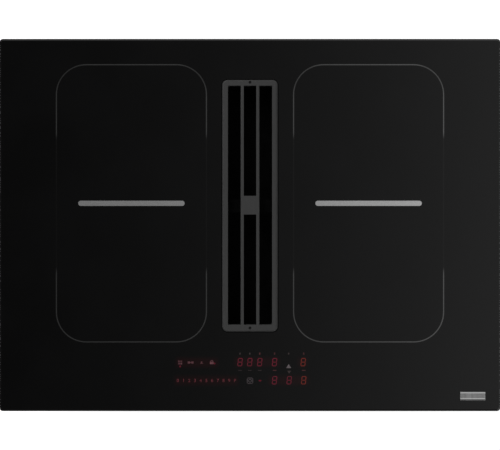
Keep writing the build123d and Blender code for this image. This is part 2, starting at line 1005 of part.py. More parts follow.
with BuildPart() as base_pan:
    extrude(pan_face(0).moved(Location((0, 0, pan_under))), amount=glass_under - pan_under)
    extrude(
        pan_face(sheet).moved(Location((0, 0, pan_floor))),
        amount=glass_under - pan_floor - sheet,
        mode=Mode.SUBTRACT,
    )
    extrude(
        pan_face(sheet + pan_rim).moved(Location((0, 0, glass_under - sheet))),
        amount=sheet,
        mode=Mode.SUBTRACT,
    )
    slab(
        shaft_width + 1,
        shaft_length + 1,
        shaft_corner,
        pan_under,
        pan_floor,
        y=vent_y,
        mode=Mode.SUBTRACT,
    )
    with BuildSketch(Plane.XY.offset(pan_under)) as intakes:
        for side in (-1, 1):
            for step in range(-4, 5):
                rise = step * fan_slot_pitch
                chord = 2 * math.sqrt((fan_bore - 1) ** 2 - rise**2)
                with Locations((side * zone_x, fan_y + rise)):
                    SlotOverall(chord, fan_slot_width)
    extrude(intakes.sketch, amount=sheet, mode=Mode.SUBTRACT)
    with Locations((0, 0, louvre_z)):
        with GridLocations(0, louvre_pitch, 1, side_louvres):
            Box(pan_width + 2, louvre_width, louvre_height, mode=Mode.SUBTRACT)
    for side in (-1, 1):
        with Locations((side * back_louvre_x, pan_depth / 2, louvre_z)):
            with GridLocations(louvre_pitch, 0, back_louvres, 1):
                Box(louvre_width, 3 * sheet, louvre_height, mode=Mode.SUBTRACT)
        for row in lug_rows:
            post(side * lug_x, row, screw_hole, pan_under, pan_floor, mode=Mode.SUBTRACT)
        with Locations((side * zone_x, board_y, pan_floor)):
            with GridLocations(
                board_width - 2 * board_inset,
                board_depth - 2 * board_inset,
                2,
                2,
            ):
                Cylinder(board_post, board_under - pan_floor, align=LOW)
    post(terminal_x, terminal_y, wire_hole, pan_under, pan_floor, mode=Mode.SUBTRACT)
base_pan.part.label = "base_pan"
export_step(base_pan.part, "parts/base_pan.step")

# ------------------------------------------------------------------ induction parts
side_names = {-1: "left", 1: "right"}
row_names = {-1: "front", 1: "back"}
plate_width = 200.0
plate_length = 386.0
plate_corner = 65.0
coil_corner = 70.0
eye_corner = 22.0
mica_width = 190.0
mica_length = 384.0
mica_corner = 80.0
board_top = board_under + board_thickness
board_corner = 3.0
sensor_radius = 5.0
post_radius = 5.0
post_spots = [(90, -138), (242, -138), (90, 200), (242, 200)]
sink_shift = 28.0
sink_half = 32.0
sink_run = 70.0
sink_base_top = -47.0
fin_pitch = 7.6
fin_count = 9
fin_skin = 1.8
fin_height = 24.0
frame_corner = 5.0
motor_seat = 19.0
spoke_circle = 31.0
spoke_length = 27.0
spoke_width = 5.0
spoke_height = 3.0
rotor_post = 4.0
rotor_post_height = 11.0
rotor_pin = 1.5
rotor_radius = 18.5
rotor_inner = 16.5
rotor_height = 20.0
vane_circle = 29.0
vane_count = 7
vane_reach = 22.0
vane_skin = 1.8
vane_chord = 18.0
vane_turn = 45.0
bar_circle = 59.0
bar_count = 8
bar_length = 52.0
bar_width = 13.0
capacitor_shift = 42.0
capacitor_pitch = 46.0
capacitor_size = (28.0, 38.0, 28.0)

for side, side_name in side_names.items():
    for row, row_name in row_names.items():
        coil_y = zone_y + row * coil_pitch / 2
        with BuildPart() as coil:
            slab(
                coil_size,
                coil_size,
                coil_corner,
                coil_under,
                coil_top,
                x=side * zone_x,
                y=coil_y,
            )
            slab(
                coil_eye,
                coil_eye,
                eye_corner,
                coil_under,
                coil_top,
                x=side * zone_x,
                y=coil_y,
                mode=Mode.SUBTRACT,
            )
        coil.part.label = f"coil_{row_name}_{side_name}"
        export_step(coil.part, f"parts/coil_{row_name}_{side_name}.step")

    with BuildPart() as coil_plate:
        slab(
            plate_width,
            plate_length,
            plate_corner,
            plate_under,
            ferrite_under,
            x=side * zone_x,
            y=zone_y,
        )
    coil_plate.part.label = f"coil_plate_{side_name}"
    export_step(coil_plate.part, f"parts/coil_plate_{side_name}.step")

    with BuildPart() as power_board:
        slab(
            board_width,
            board_depth,
            board_corner,
            board_under,
            board_top,
            x=side * zone_x,
            y=board_y,
        )
    power_board.part.label = f"power_board_{side_name}"
    export_step(power_board.part, f"parts/power_board_{side_name}.step")

    sink_x = side * (zone_x - sink_shift)
    with BuildPart() as heatsink:
        block(
            (sink_x - sink_half, sink_x + sink_half),
            (board_y - sink_run, board_y + sink_run),
            (board_top, sink_base_top),
        )
        with Locations((sink_x, board_y, sink_base_top)):
            with GridLocations(fin_pitch, 0, fin_count, 1):
                Box(fin_skin, 2 * sink_run, fin_height, align=LOW)
    heatsink.part.label = f"heatsink_{side_name}"
    export_step(heatsink.part, f"parts/heatsink_{side_name}.step")

    with BuildPart() as fan_frame:
        slab(
            fan_size,
            fan_size,
            frame_corner,
            pan_floor,
            pan_floor + fan_height,
            x=side * zone_x,
            y=fan_y,
        )
        post(
            side * zone_x,
            fan_y,
            fan_bore,
            pan_floor,
            pan_floor + fan_height,
            mode=Mode.SUBTRACT,
        )
        post(side * zone_x, fan_y, motor_seat, pan_floor, pan_floor + spoke_height)
        with Locations((side * zone_x, fan_y, pan_floor)):
            with PolarLocations(spoke_circle, 4, start_angle=45):
                Box(spoke_length, spoke_width, spoke_height, align=LOW)
            Cylinder(rotor_post, rotor_post_height, align=LOW)
            Cylinder(
                rotor_pin + running_gap,
                rotor_post_height,
                align=LOW,
                mode=Mode.SUBTRACT,
            )
    fan_frame.part.label = f"fan_frame_{side_name}"
    export_step(fan_frame.part, f"parts/fan_frame_{side_name}.step")

    rotor_low = pan_floor + spoke_height + slide_gap
    rotor_high = rotor_low + rotor_height
    rotor_roof = rotor_high - rotor_radius + rotor_inner
    with BuildPart() as fan_rotor:
        post(side * zone_x, fan_y, rotor_radius, rotor_low, rotor_high)
        post(side * zone_x, fan_y, rotor_inner, rotor_low, rotor_roof, mode=Mode.SUBTRACT)
        post(side * zone_x, fan_y, rotor_pin, rotor_low, rotor_roof)
        with Locations((side * zone_x, fan_y, (rotor_low + rotor_high) / 2)):
            with PolarLocations(vane_circle, vane_count):
                Box(vane_reach, vane_skin, vane_chord, rotation=(vane_turn, 0, 0))
    fan_rotor.part.label = f"fan_rotor_{side_name}"
    export_step(fan_rotor.part, f"parts/fan_rotor_{side_name}.step")

with BuildPart() as mica_sheets:
    for side in (-1, 1):
        slab(
            mica_width,
            mica_length,
            mica_corner,
            coil_top,
            glass_under,
            x=side * zone_x,
            y=zone_y,
        )
        for row in (-1, 1):
            post(
                side * zone_x,
                zone_y + row * coil_pitch / 2,
                sensor_radius + 1,
                coil_top,
                glass_under,
                mode=Mode.SUBTRACT,
            )
mica_sheets.part.label = "mica_sheets"
export_step(mica_sheets.part, "parts/mica_sheets.step")

with BuildPart() as ferrite_bars:
    for side in (-1, 1):
        for row in (-1, 1):
            with Locations((side * zone_x, zone_y + row * coil_pitch / 2, ferrite_under)):
                with PolarLocations(bar_circle, bar_count):
                    Box(bar_length, bar_width, coil_under - ferrite_under, align=LOW)
ferrite_bars.part.label = "ferrite_bars"
export_step(ferrite_bars.part, "parts/ferrite_bars.step")

with BuildPart() as temperature_sensors:
    for side in (-1, 1):
        for row in (-1, 1):
            coil_y = zone_y + row * coil_pitch / 2
            post(side * zone_x, coil_y, sensor_radius, ferrite_under, glass_under)
temperature_sensors.part.label = "temperature_sensors"
export_step(temperature_sensors.part, "parts/temperature_sensors.step")

with BuildPart() as coil_posts:
    for side in (-1, 1):
        for x, y in post_spots:
            post(side * x, y, post_radius, pan_floor, plate_under)
coil_posts.part.label = "coil_posts"
export_step(coil_posts.part, "parts/coil_posts.step")

with BuildPart() as capacitors:
    for side in (-1, 1):
        with Locations((side * (zone_x + capacitor_shift), board_y, board_top)):
            with GridLocations(0, capacitor_pitch, 1, 3):
                Box(*capacitor_size, align=LOW)
capacitors.part.label = "capacitors"
export_step(capacitors.part, "parts/capacitors.step")

# ------------------------------------------------------------------ touch control
control_width = 216.0
control_depth = 54.0
tray_skin = 1.6
tray_gap = 0.4
tray_low = control_board_under - 8
tray_rim = -4.0
tray_corner = 4.0
stud_radius = 3.0
leg_radius = 4.0
stud_pitch = (control_width - 16, control_depth - 12)
display_half = (5.0, 6.8)
display_top = 1.5
spring_radius = 3.0

with BuildPart() as control_tray:
    slab(
        control_width + 2 * (tray_gap + tray_skin),
        control_depth + 2 * (tray_gap + tray_skin),
        tray_corner,
        tray_low,
        tray_rim,
        x=control_x,
        y=control_y,
    )
    slab(
        control_width + 2 * tray_gap,
        control_depth + 2 * tray_gap,
        tray_corner - tray_skin,
        tray_low + tray_skin,
        tray_rim,
        x=control_x,
        y=control_y,
        mode=Mode.SUBTRACT,
    )
    with Locations((control_x, control_y, tray_low + tray_skin)):
        with GridLocations(*stud_pitch, 2, 2):
            Cylinder(stud_radius, control_board_under - tray_low - tray_skin, align=LOW)
    with Locations((control_x, control_y, pan_floor)):
        with GridLocations(*stud_pitch, 2, 2):
            Cylinder(leg_radius, tray_low - pan_floor, align=LOW)
control_tray.part.label = "control_tray"
export_step(control_tray.part, "parts/control_tray.step")

control_board_top = control_board_under + board_thickness
with BuildPart() as control_board:
    slab(
        control_width,
        control_depth,
        2,
        control_board_under,
        control_board_top,
        x=control_x,
        y=control_y,
    )
control_board.part.label = "control_board"
export_step(control_board.part, "parts/control_board.step")

with BuildPart() as led_displays:
    for x, y in digit_places:
        block(
            (x - display_half[0], x + display_half[0]),
            (y - display_half[1], y + display_half[1]),
            (control_board_top, display_top),
        )
led_displays.part.label = "led_displays"
export_step(led_displays.part, "parts/led_displays.step")

with BuildPart() as touch_springs:
    for x, y in key_places:
        post(x, y, spring_radius, control_board_top, glass_under)
touch_springs.part.label = "touch_springs"
export_step(touch_springs.part, "parts/touch_springs.step")

# ------------------------------------------------------------------ mains terminals
terminal_back = terminal_y + terminal_depth / 2
terminal_front = terminal_y - terminal_depth / 2
terminal_wall = 2.2
gland_hole = 9.5
lid_thickness = 2.5
lid_low = terminal_under - lid_thickness
lid_rail = 3.0
rail_skin = 2.0
rail_end = 6.0
lid_rail_low = lid_low - slide_gap - rail_skin
terminal_corner = 4.0

with BuildPart() as terminal_box:
    slab(
        terminal_width,
        terminal_depth,
        terminal_corner,
        terminal_under,
        pan_under,
        x=terminal_x,
        y=terminal_y,
    )
    for side in (-1, 1):
        inner = terminal_x + side * (terminal_width / 2 + slide_gap)
        outer = inner + side * rail_skin
        web = sorted((inner, outer))
        lip = sorted((inner - side * lid_rail, outer))
        arm = sorted((inner - side * (slide_gap + 1), outer))
        run = (terminal_front + rail_end, terminal_back - rail_end)
        block(web, run, (lid_rail_low, terminal_under + 3 * rail_skin))
        block(lip, run, (lid_rail_low, lid_rail_low + rail_skin))
        block(arm, run, (terminal_under + rail_skin, terminal_under + 3 * rail_skin))
    slab(
        terminal_width - 2 * terminal_wall,
        terminal_depth - 2 * terminal_wall,
        terminal_corner - terminal_wall,
        terminal_under,
        pan_under - terminal_wall,
        x=terminal_x,
        y=terminal_y,
        mode=Mode.SUBTRACT,
    )
    post(
        terminal_x,
        terminal_y,
        wire_hole,
        pan_under - terminal_wall,
        pan_under,
        mode=Mode.SUBTRACT,
    )
    wall_middle = terminal_back - terminal_wall / 2
    with Locations(Location((terminal_x, wall_middle, gland_z), (90, 0, 0))):
        Cylinder(gland_hole, 2 * terminal_wall, mode=Mode.SUBTRACT)
terminal_box.part.label = "terminal_box"
export_step(terminal_box.part, "parts/terminal_box.step")

grip_half = 30.0
grip_pitch = 4.0
grip_width = 1.6

with BuildPart() as terminal_lid:
    slab(
        terminal_width,
        terminal_depth,
        terminal_corner,
        lid_low,
        terminal_under,
        x=terminal_x,
        y=terminal_y,
    )
    for step in range(3):
        ridge = terminal_front + (step + 1) * grip_pitch
        block(
            (terminal_x - grip_half, terminal_x + grip_half),
            (ridge, ridge + grip_width),
            (lid_low - grip_width, lid_low),
        )
terminal_lid.part.label = "terminal_lid"
export_step(terminal_lid.part, "parts/terminal_lid.step")

strip_half = 27.0
strip_y = terminal_y - 25
strip_depth = 22.0
strip_low = pan_under - 20
pole_pitch = 10.5
pole_count = 5
pole_radius = 3.0
pole_depth = 6.0

with BuildPart() as terminal_block:
    block(
        (terminal_x - strip_half, terminal_x + strip_half),
        (strip_y - strip_depth / 2, strip_y + strip_depth / 2),
        (strip_low, pan_under - terminal_wall),
    )
    with Locations((terminal_x, strip_y, strip_low)):
        with GridLocations(pole_pitch, 0, pole_count, 1):
            Cylinder(pole_radius, pole_depth, align=LOW, mode=Mode.SUBTRACT)
terminal_block.part.label = "terminal_block"
export_step(terminal_block.part, "parts/terminal_block.step")

gland_plane = Plane(
    origin=(terminal_x, terminal_back, gland_z),
    x_dir=(1, 0, 0),
    z_dir=(0, 1, 0),
)
gland_length = 18.0
gland_inside = 6.0
gland_nut = 13.0
nut_length = 6.0
cap_radius = 11.0
cap_round = 3.0
thread_radius = 9.4

with BuildPart() as cable_gland:
    with BuildSketch(gland_plane):
        RegularPolygon(gland_nut, 6)
    extrude(amount=nut_length)
    with BuildSketch(gland_plane.offset(nut_length)):
        Circle(cap_radius)
    extrude(amount=gland_length - nut_length)
    fillet(cable_gland.faces().sort_by(Axis.Y)[-1].edges(), cap_round)
    with BuildSketch(gland_plane.offset(-gland_inside)):
        Circle(thread_radius)
    extrude(amount=gland_inside)
    with BuildSketch(gland_plane.offset(-gland_inside)):
        Circle(gland_bore)
    extrude(amount=gland_inside + gland_length, mode=Mode.SUBTRACT)
cable_gland.part.label = "cable_gland"
export_step(cable_gland.part, "parts/cable_gland.step")

# ------------------------------------------------------------------ worktop clamps
corner_plane = Plane(
    origin=(clamp_x, clamp_y, 0),
    x_dir=(1, -1, 0),
    z_dir=(0, 0, 1),
)
wall_offset = (clamp_x + clamp_y - pan_width / 2 - pan_depth / 2 + pan_chamfer) / math.sqrt(2)
lug_radius = 7.0
lug_sheet = 3.0
back_width = 28.0
back_sheet = 2.0
screw_tip = 3.0
screw_head = 4.6
screw_head_height = 3.5
dog_plate = 4.0
dog_hub = 5.0
dog_hub_height = 10.0
bracket_low = -56.0
bracket_high = -8.0
lug_heights = (bracket_low, bracket_high - lug_sheet)

with BuildPart() as clamp_brackets:
    with BuildSketch(corner_plane.offset(bracket_low)) as back_plate:
        with Locations((0, -wall_offset + back_sheet / 2)):
            Rectangle(back_width, back_sheet)
    extrude(back_plate.sketch, amount=bracket_high - bracket_low)
    for low in lug_heights:
        with BuildSketch(corner_plane.offset(low)) as lug:
            Circle(lug_radius)
            with Locations((0, -wall_offset / 2)):
                Rectangle(2 * lug_radius, wall_offset)
            Circle(clamp_screw + running_gap, mode=Mode.SUBTRACT)
        extrude(lug.sketch, amount=lug_sheet)
    mirror(about=Plane.YZ)
    mirror(about=Plane.XZ)
clamp_brackets.part.label = "clamp_brackets"
export_step(clamp_brackets.part, "parts/clamp_brackets.step")

with BuildPart() as clamp_screws:
    post(clamp_x, clamp_y, clamp_screw, bracket_low, bracket_high + screw_tip)
    post(clamp_x, clamp_y, screw_head, bracket_low - screw_head_height, bracket_low)
    mirror(about=Plane.YZ)
    mirror(about=Plane.XZ)
clamp_screws.part.label = "clamp_screws"
export_step(clamp_screws.part, "parts/clamp_screws.step")

with BuildPart() as first_dog:
    with BuildSketch(corner_plane.offset(dog_top - dog_plate)) as arm:
        SlotCenterToCenter(clamp_reach, 2 * dog_hub)
    arm_shift = corner_plane.x_dir * (clamp_reach / 2)
    extrude(arm.sketch.moved(Location(arm_shift)), amount=dog_plate)
    post(clamp_x, clamp_y, dog_hub, dog_top - dog_hub_height, dog_top)
    post(
        clamp_x,
        clamp_y,
        clamp_screw + running_gap,
        dog_top - dog_hub_height,
        dog_top,
        mode=Mode.SUBTRACT,
    )

for side, side_name in side_names.items():
    for row, row_name in row_names.items():
        with BuildPart() as clamp_dog:
            add(first_dog.part)
            if side < 0:
                mirror(about=Plane.YZ, mode=Mode.REPLACE)
            if row < 0:
                mirror(about=Plane.XZ, mode=Mode.REPLACE)
        clamp_dog.part.label = f"clamp_dog_{row_name}_{side_name}"
        export_step(clamp_dog.part, f"parts/clamp_dog_{row_name}_{side_name}.step")


# ------------------------------------------------------------------ screws
head_radius = 3.2
head_height = 2.2
low_head_height = 1.8
recess = 1.2
flange_screw_length = 7.0


def upright_screw(x, y, face, depth, head):
    """Screw driven upwards, with its head below the face that it holds."""
    post(x, y, head_radius, face - head, face)
    post(x, y, recess, face - head, face - head + recess, mode=Mode.SUBTRACT)
    post(x, y, screw_radius, face, face + depth)


with BuildPart() as housing_screws:
    for x, y in seam_screws:
        upright_screw(x, y, scroll_seam - seam_plate, 2 * seam_plate, head_height)
    for step in range(4):
        angle = math.radians(45 + 90 * step)
        upright_screw(
            motor_screw_circle * math.cos(angle),
            blower_y + motor_screw_circle * math.sin(angle),
            scroll_under - plate_thickness,
            plate_thickness + scroll_wall,
            low_head_height,
        )
    for side in (-1, 1):
        for row in lug_rows:
            upright_screw(
                side * lug_x,
                row,
                pan_under - lug_thickness,
                lug_thickness + sheet,
                head_height,
            )
    for x, z in flange_screws:
        head_face = outlet_face + flange_thickness
        with Locations(Location((x, head_face, z), (-90, 0, 0))):
            Cylinder(head_radius, head_height, align=LOW)
            Cylinder(recess, head_height, align=LOW, mode=Mode.SUBTRACT)
        with Locations(Location((x, head_face, z), (90, 0, 0))):
            Cylinder(screw_radius, flange_screw_length, align=LOW)
housing_screws.part.label = "housing_screws"
export_step(housing_screws.part, "parts/housing_screws.step")
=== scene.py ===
"""Looks of the downdraft induction cooktop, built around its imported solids.

Metres. The origin is the centre of the worktop seat, +X right, +Y back, +Z up.
"""

import json
import math

import bmesh
import bpy
from mathutils import Matrix, Vector


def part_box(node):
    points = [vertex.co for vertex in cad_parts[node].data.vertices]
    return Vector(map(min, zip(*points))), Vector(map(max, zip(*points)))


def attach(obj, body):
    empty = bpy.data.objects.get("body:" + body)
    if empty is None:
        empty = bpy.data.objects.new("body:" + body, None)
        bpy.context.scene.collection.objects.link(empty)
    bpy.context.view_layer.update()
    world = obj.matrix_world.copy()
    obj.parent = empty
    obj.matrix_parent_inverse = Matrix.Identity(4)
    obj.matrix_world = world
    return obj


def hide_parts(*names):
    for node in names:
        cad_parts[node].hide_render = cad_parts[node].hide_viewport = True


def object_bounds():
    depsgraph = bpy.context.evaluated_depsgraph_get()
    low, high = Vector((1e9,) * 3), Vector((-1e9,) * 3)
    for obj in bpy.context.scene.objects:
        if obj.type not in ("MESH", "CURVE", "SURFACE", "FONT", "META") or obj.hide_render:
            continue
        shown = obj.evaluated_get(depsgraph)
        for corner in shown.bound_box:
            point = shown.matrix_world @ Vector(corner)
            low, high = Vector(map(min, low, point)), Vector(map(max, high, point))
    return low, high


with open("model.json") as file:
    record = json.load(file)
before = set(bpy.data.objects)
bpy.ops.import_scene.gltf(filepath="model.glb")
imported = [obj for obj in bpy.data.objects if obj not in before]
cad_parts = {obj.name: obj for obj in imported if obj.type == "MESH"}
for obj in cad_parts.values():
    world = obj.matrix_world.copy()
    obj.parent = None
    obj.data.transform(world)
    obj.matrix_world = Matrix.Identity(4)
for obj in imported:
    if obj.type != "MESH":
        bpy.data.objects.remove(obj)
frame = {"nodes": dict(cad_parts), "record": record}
cad_low, cad_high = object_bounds()
cad = frame["nodes"]

MM = 0.001
# heights of the glass's face and of the top of its rim, under the bevel
GLASS_FACE = 0.006
GLASS_RIM = 0.005
GLASS_WIDTH = 0.7

# ------------------------------------------------------------------ camera and lamps
LENS = 100.0
SENSOR = 36.0
# the picture's width as a share of the glass's
CROP = 0.998

camera_data = bpy.data.cameras.new("camera")
camera_data.lens = LENS
camera_data.sensor_width = SENSOR
camera = bpy.data.objects.new("camera", camera_data)
camera.location = (0, 0, GLASS_RIM + CROP * GLASS_WIDTH * LENS / SENSOR)
bpy.context.scene.collection.objects.link(camera)
bpy.context.scene.camera = camera

bpy.context.scene.view_settings.view_transform = "Standard"


def soft_lamp(name, place, size, power):
    """A square lamp that faces the middle of the hob."""
    data = bpy.data.lights.new(name, "AREA")
    data.size = size
    data.energy = power
    lamp = bpy.data.objects.new(name, data)
    lamp.location = place
    lamp.rotation_euler = (-Vector(place)).to_track_quat("-Z", "Y").to_euler()
    bpy.context.scene.collection.objects.link(lamp)


soft_lamp("key_lamp", place=(-1.25, 1.15, 1.9), size=1.1, power=22)
soft_lamp("fill_lamp", place=(1.5, -1.3, 1.2), size=1.6, power=9)


# ------------------------------------------------------------------ helpers for shader nodes
def place_node(tree, kind, **settings):
    """A shader node with its settings."""
    made = tree.nodes.new(kind)
    for key, value in settings.items():
        setattr(made, key, value)
    return made


def math_node(tree, operation, first, second=None, clamp=False):
    """A maths node fed by numbers or sockets; returns its output."""
    made = place_node(tree, "ShaderNodeMath", operation=operation, use_clamp=clamp)
    for socket, value in zip(made.inputs, (first, second)):
        if value is None:
            continue
        if isinstance(value, (int, float)):
            socket.default_value = value
        else:
            tree.links.new(value, socket)
    return made.outputs[0]


def smooth_range(tree, value, low, high, to_low, to_high):
    """Value carried smoothly from the range low..high to to_low..to_high."""
    made = place_node(tree, "ShaderNodeMapRange", interpolation_type="SMOOTHSTEP")
    tree.links.new(value, made.inputs["Value"])
    for socket, number in zip(made.inputs[1:5], (low, high, to_low, to_high)):
        socket.default_value = number
    return made.outputs[0]


def soft_band(tree, value, middle, inner, outer):
    """1 within inner of the middle, 0 past outer."""
    distance = math_node(tree, "ABSOLUTE", math_node(tree, "SUBTRACT", value, middle))
    return smooth_range(tree, distance, inner, outer, 1.0, 0.0)


def split_axes(tree, vector):
    """The X, Y and Z of a vector, as outputs by name."""
    parts = place_node(tree, "ShaderNodeSeparateXYZ")
    tree.links.new(vector, parts.inputs[0])
    return parts.outputs


def object_place(tree):
    """The place on the piece, in Object coordinates."""
    return place_node(tree, "ShaderNodeTexCoord").outputs["Object"]


def mixed_colour(tree, share, first, second):
    """Two colours mixed by a share; each is a colour or a socket."""
    made = place_node(tree, "ShaderNodeMix", data_type="RGBA")
    tree.links.new(share, made.inputs[0])
    for socket, value in ((made.inputs[6], first), (made.inputs[7], second)):
        if isinstance(value, tuple):
            socket.default_value = value
        else:
            tree.links.new(value, socket)
    return made.outputs[2]


def toned_colour(tree, colour, tone):
    """A colour made lighter or darker by a tone."""
    made = place_node(tree, "ShaderNodeVectorMath", operation="SCALE")
    tree.links.new(colour, made.inputs[0])
    tree.links.new(tone, made.inputs["Scale"])
    return made.outputs[0]


def texture(tree, kind, scale, **sockets):
    """A texture on Object coordinates. Scale is a number, a socket, or a stretch along each axis."""
    place = object_place(tree)
    made = place_node(tree, kind)
    if isinstance(scale, tuple):
        stretch = place_node(tree, "ShaderNodeMapping")
        tree.links.new(place, stretch.inputs["Vector"])
        stretch.inputs["Scale"].default_value = scale
        place = stretch.outputs[0]
        made.inputs["Scale"].default_value = 1.0
    elif isinstance(scale, (int, float)):
        made.inputs["Scale"].default_value = scale
    else:
        tree.links.new(scale, made.inputs["Scale"])
    tree.links.new(place, made.inputs["Vector"])
    for label, value in sockets.items():
        made.inputs[label].default_value = value
    return made


# ------------------------------------------------------------------ world and floor
# the sky seen in gloss grows from SKY_START overhead toward the right, up to SKY_PEAK;
# SKY_GROWTH is how many times brighter it would get from overhead to the far right
SKY_GROWTH = 299.0
SKY_START = 0.185
SKY_PEAK = 0.5
SKY_GREY = (0.8, 0.8, 0.8, 1)
# strength that brings the sky's grey up to white for the camera
CAMERA_WHITE = 1.25


def studio_world():
    """White for the camera, an even dim sky for light, and one brighter right and back in gloss."""
    world = bpy.data.worlds.new("studio")
    bpy.context.scene.world = world
    world.use_nodes = True
    tree = world.node_tree
    tree.nodes.clear()
    toward = split_axes(tree, place_node(tree, "ShaderNodeTexCoord").outputs["Generated"])
    growth = math_node(tree, "POWER", SKY_GROWTH, toward["X"])
    side = math_node(tree, "MINIMUM", math_node(tree, "MULTIPLY", growth, SKY_START), SKY_PEAK)
    front = smooth_range(tree, toward["Y"], -0.6, -0.25, 0.1, 1.0)
    back = smooth_range(tree, toward["Y"], 0.25, 0.7, 0.0, 0.6)
    tilt = smooth_range(tree, toward["Y"], -0.15, 0.15, 1.05, 0.99)
    near = math_node(tree, "MULTIPLY", math_node(tree, "MULTIPLY", side, front), tilt)
    ceiling = math_node(tree, "ADD", near, back)
    low_sky = smooth_range(tree, toward["Z"], 0.15, 0.45, 0.9, 0.0)
    gloss_sky = math_node(tree, "MAXIMUM", ceiling, low_sky)
    path = place_node(tree, "ShaderNodeLightPath")
    shine = math_node(
        tree, "ADD", path.outputs["Is Glossy Ray"], path.outputs["Is Transmission Ray"], True
    )
    seen = math_node(tree, "MULTIPLY", shine, gloss_sky)
    dome = smooth_range(tree, toward["Z"], 0.0, 0.9, 0.16, 0.6)
    plain = math_node(tree, "MULTIPLY", math_node(tree, "SUBTRACT", 1.0, shine), dome)
    total = math_node(tree, "ADD", seen, plain)
    white = math_node(tree, "MULTIPLY", path.outputs["Is Camera Ray"], CAMERA_WHITE)
    strength = math_node(tree, "MAXIMUM", total, white)
    background = place_node(tree, "ShaderNodeBackground")
    background.inputs["Color"].default_value = SKY_GREY
    tree.links.new(strength, background.inputs["Strength"])
    output = place_node(tree, "ShaderNodeOutputWorld")
    tree.links.new(background.outputs[0], output.inputs["Surface"])


studio_world()

FLOOR_REACH = 6.0
FLOOR_GAP = 0.0002
FLOOR_GREY = (0.5, 0.5, 0.5, 1)
# light that the camera alone sees on the floor, so that it shows white
FLOOR_GLOW = 0.84


def pale_floor():
    """A wide pale floor that shows white and keeps the shadow."""
    shape = bmesh.new()
    bmesh.ops.create_grid(shape, x_segments=1, y_segments=1, size=FLOOR_REACH)
    bmesh.ops.translate(shape, verts=shape.verts, vec=(0, 0, cad_low.z - FLOOR_GAP))
    mesh = bpy.data.meshes.new("floor")
    shape.to_mesh(mesh)
    shape.free()
    floor = bpy.data.objects.new("floor", mesh)
    bpy.context.scene.collection.objects.link(floor)
    paint = bpy.data.materials.new("floor_white")
    paint.use_nodes = True
    tree = paint.node_tree
    skin = tree.nodes["Principled BSDF"]
    skin.inputs["Base Color"].default_value = FLOOR_GREY
    skin.inputs["Roughness"].default_value = 0.9
    skin.inputs["Specular IOR Level"].default_value = 0.0
    path = place_node(tree, "ShaderNodeLightPath")
    glow = place_node(tree, "ShaderNodeEmission")
    lift = math_node(tree, "MULTIPLY", path.outputs["Is Camera Ray"], FLOOR_GLOW)
    tree.links.new(lift, glow.inputs["Strength"])
    both = place_node(tree, "ShaderNodeAddShader")
    tree.links.new(skin.outputs[0], both.inputs[0])
    tree.links.new(glow.outputs[0], both.inputs[1])
    tree.links.new(both.outputs[0], tree.nodes["Material Output"].inputs["Surface"])
    mesh.materials.append(paint)


pale_floor()


# ------------------------------------------------------------------ shared surface effects
def new_group(name, inputs, outputs):
    """An empty shader group with named sockets; returns it with its inner input and output nodes."""
    group = bpy.data.node_groups.new(name, "ShaderNodeTree")
    for label, kind, value in inputs:
        socket = group.interface.new_socket(label, in_out="INPUT", socket_type=kind)
        socket.default_value = value
    for label, kind in outputs:
        group.interface.new_socket(label, in_out="OUTPUT", socket_type=kind)
    return group, group.nodes.new("NodeGroupInput"), group.nodes.new("NodeGroupOutput")


# how many grains a metre a moulded or painted skin has
MOULDED_GRAIN = 1500.0


def build_patches():
    """Soft uneven patches: a colour between two and a gloss between two."""
    group, given, result = new_group(
        "soft_patches",
        [
            ("Dark", "NodeSocketColor", (0.1, 0.1, 0.1, 1)),
            ("Light", "NodeSocketColor", (0.2, 0.2, 0.2, 1)),
            ("Scale", "NodeSocketFloat", 30.0),
            ("Smooth", "NodeSocketFloat", 0.3),
            ("Dull", "NodeSocketFloat", 0.5),
        ],
        [("Colour", "NodeSocketColor"), ("Gloss", "NodeSocketFloat")],
    )
    patches = texture(group, "ShaderNodeTexNoise", given.outputs["Scale"], Detail=4.0)
    share = smooth_range(group, patches.outputs["Fac"], 0.35, 0.65, 0.0, 1.0)
    colour = mixed_colour(group, share, given.outputs["Dark"], given.outputs["Light"])
    group.links.new(colour, result.inputs["Colour"])
    gap = math_node(group, "SUBTRACT", given.outputs["Dull"], given.outputs["Smooth"])
    rough = math_node(
        group, "ADD", given.outputs["Smooth"], math_node(group, "MULTIPLY", gap, share)
    )
    group.links.new(rough, result.inputs["Gloss"])
    return group


def build_grain():
    """The fine even grain of a moulded or painted skin, as a normal."""
    group, given, result = new_group(
        "fine_grain",
        [("Scale", "NodeSocketFloat", MOULDED_GRAIN), ("Depth", "NodeSocketFloat", 0.00002)],
        [("Normal", "NodeSocketVector")],
    )
    grain = texture(group, "ShaderNodeTexNoise", given.outputs["Scale"], Detail=2.0)
    relief = place_node(group, "ShaderNodeBump")
    relief.inputs["Strength"].default_value = 0.6
    group.links.new(given.outputs["Depth"], relief.inputs["Distance"])
    group.links.new(grain.outputs["Fac"], relief.inputs["Height"])
    group.links.new(relief.outputs[0], result.inputs["Normal"])
    return group


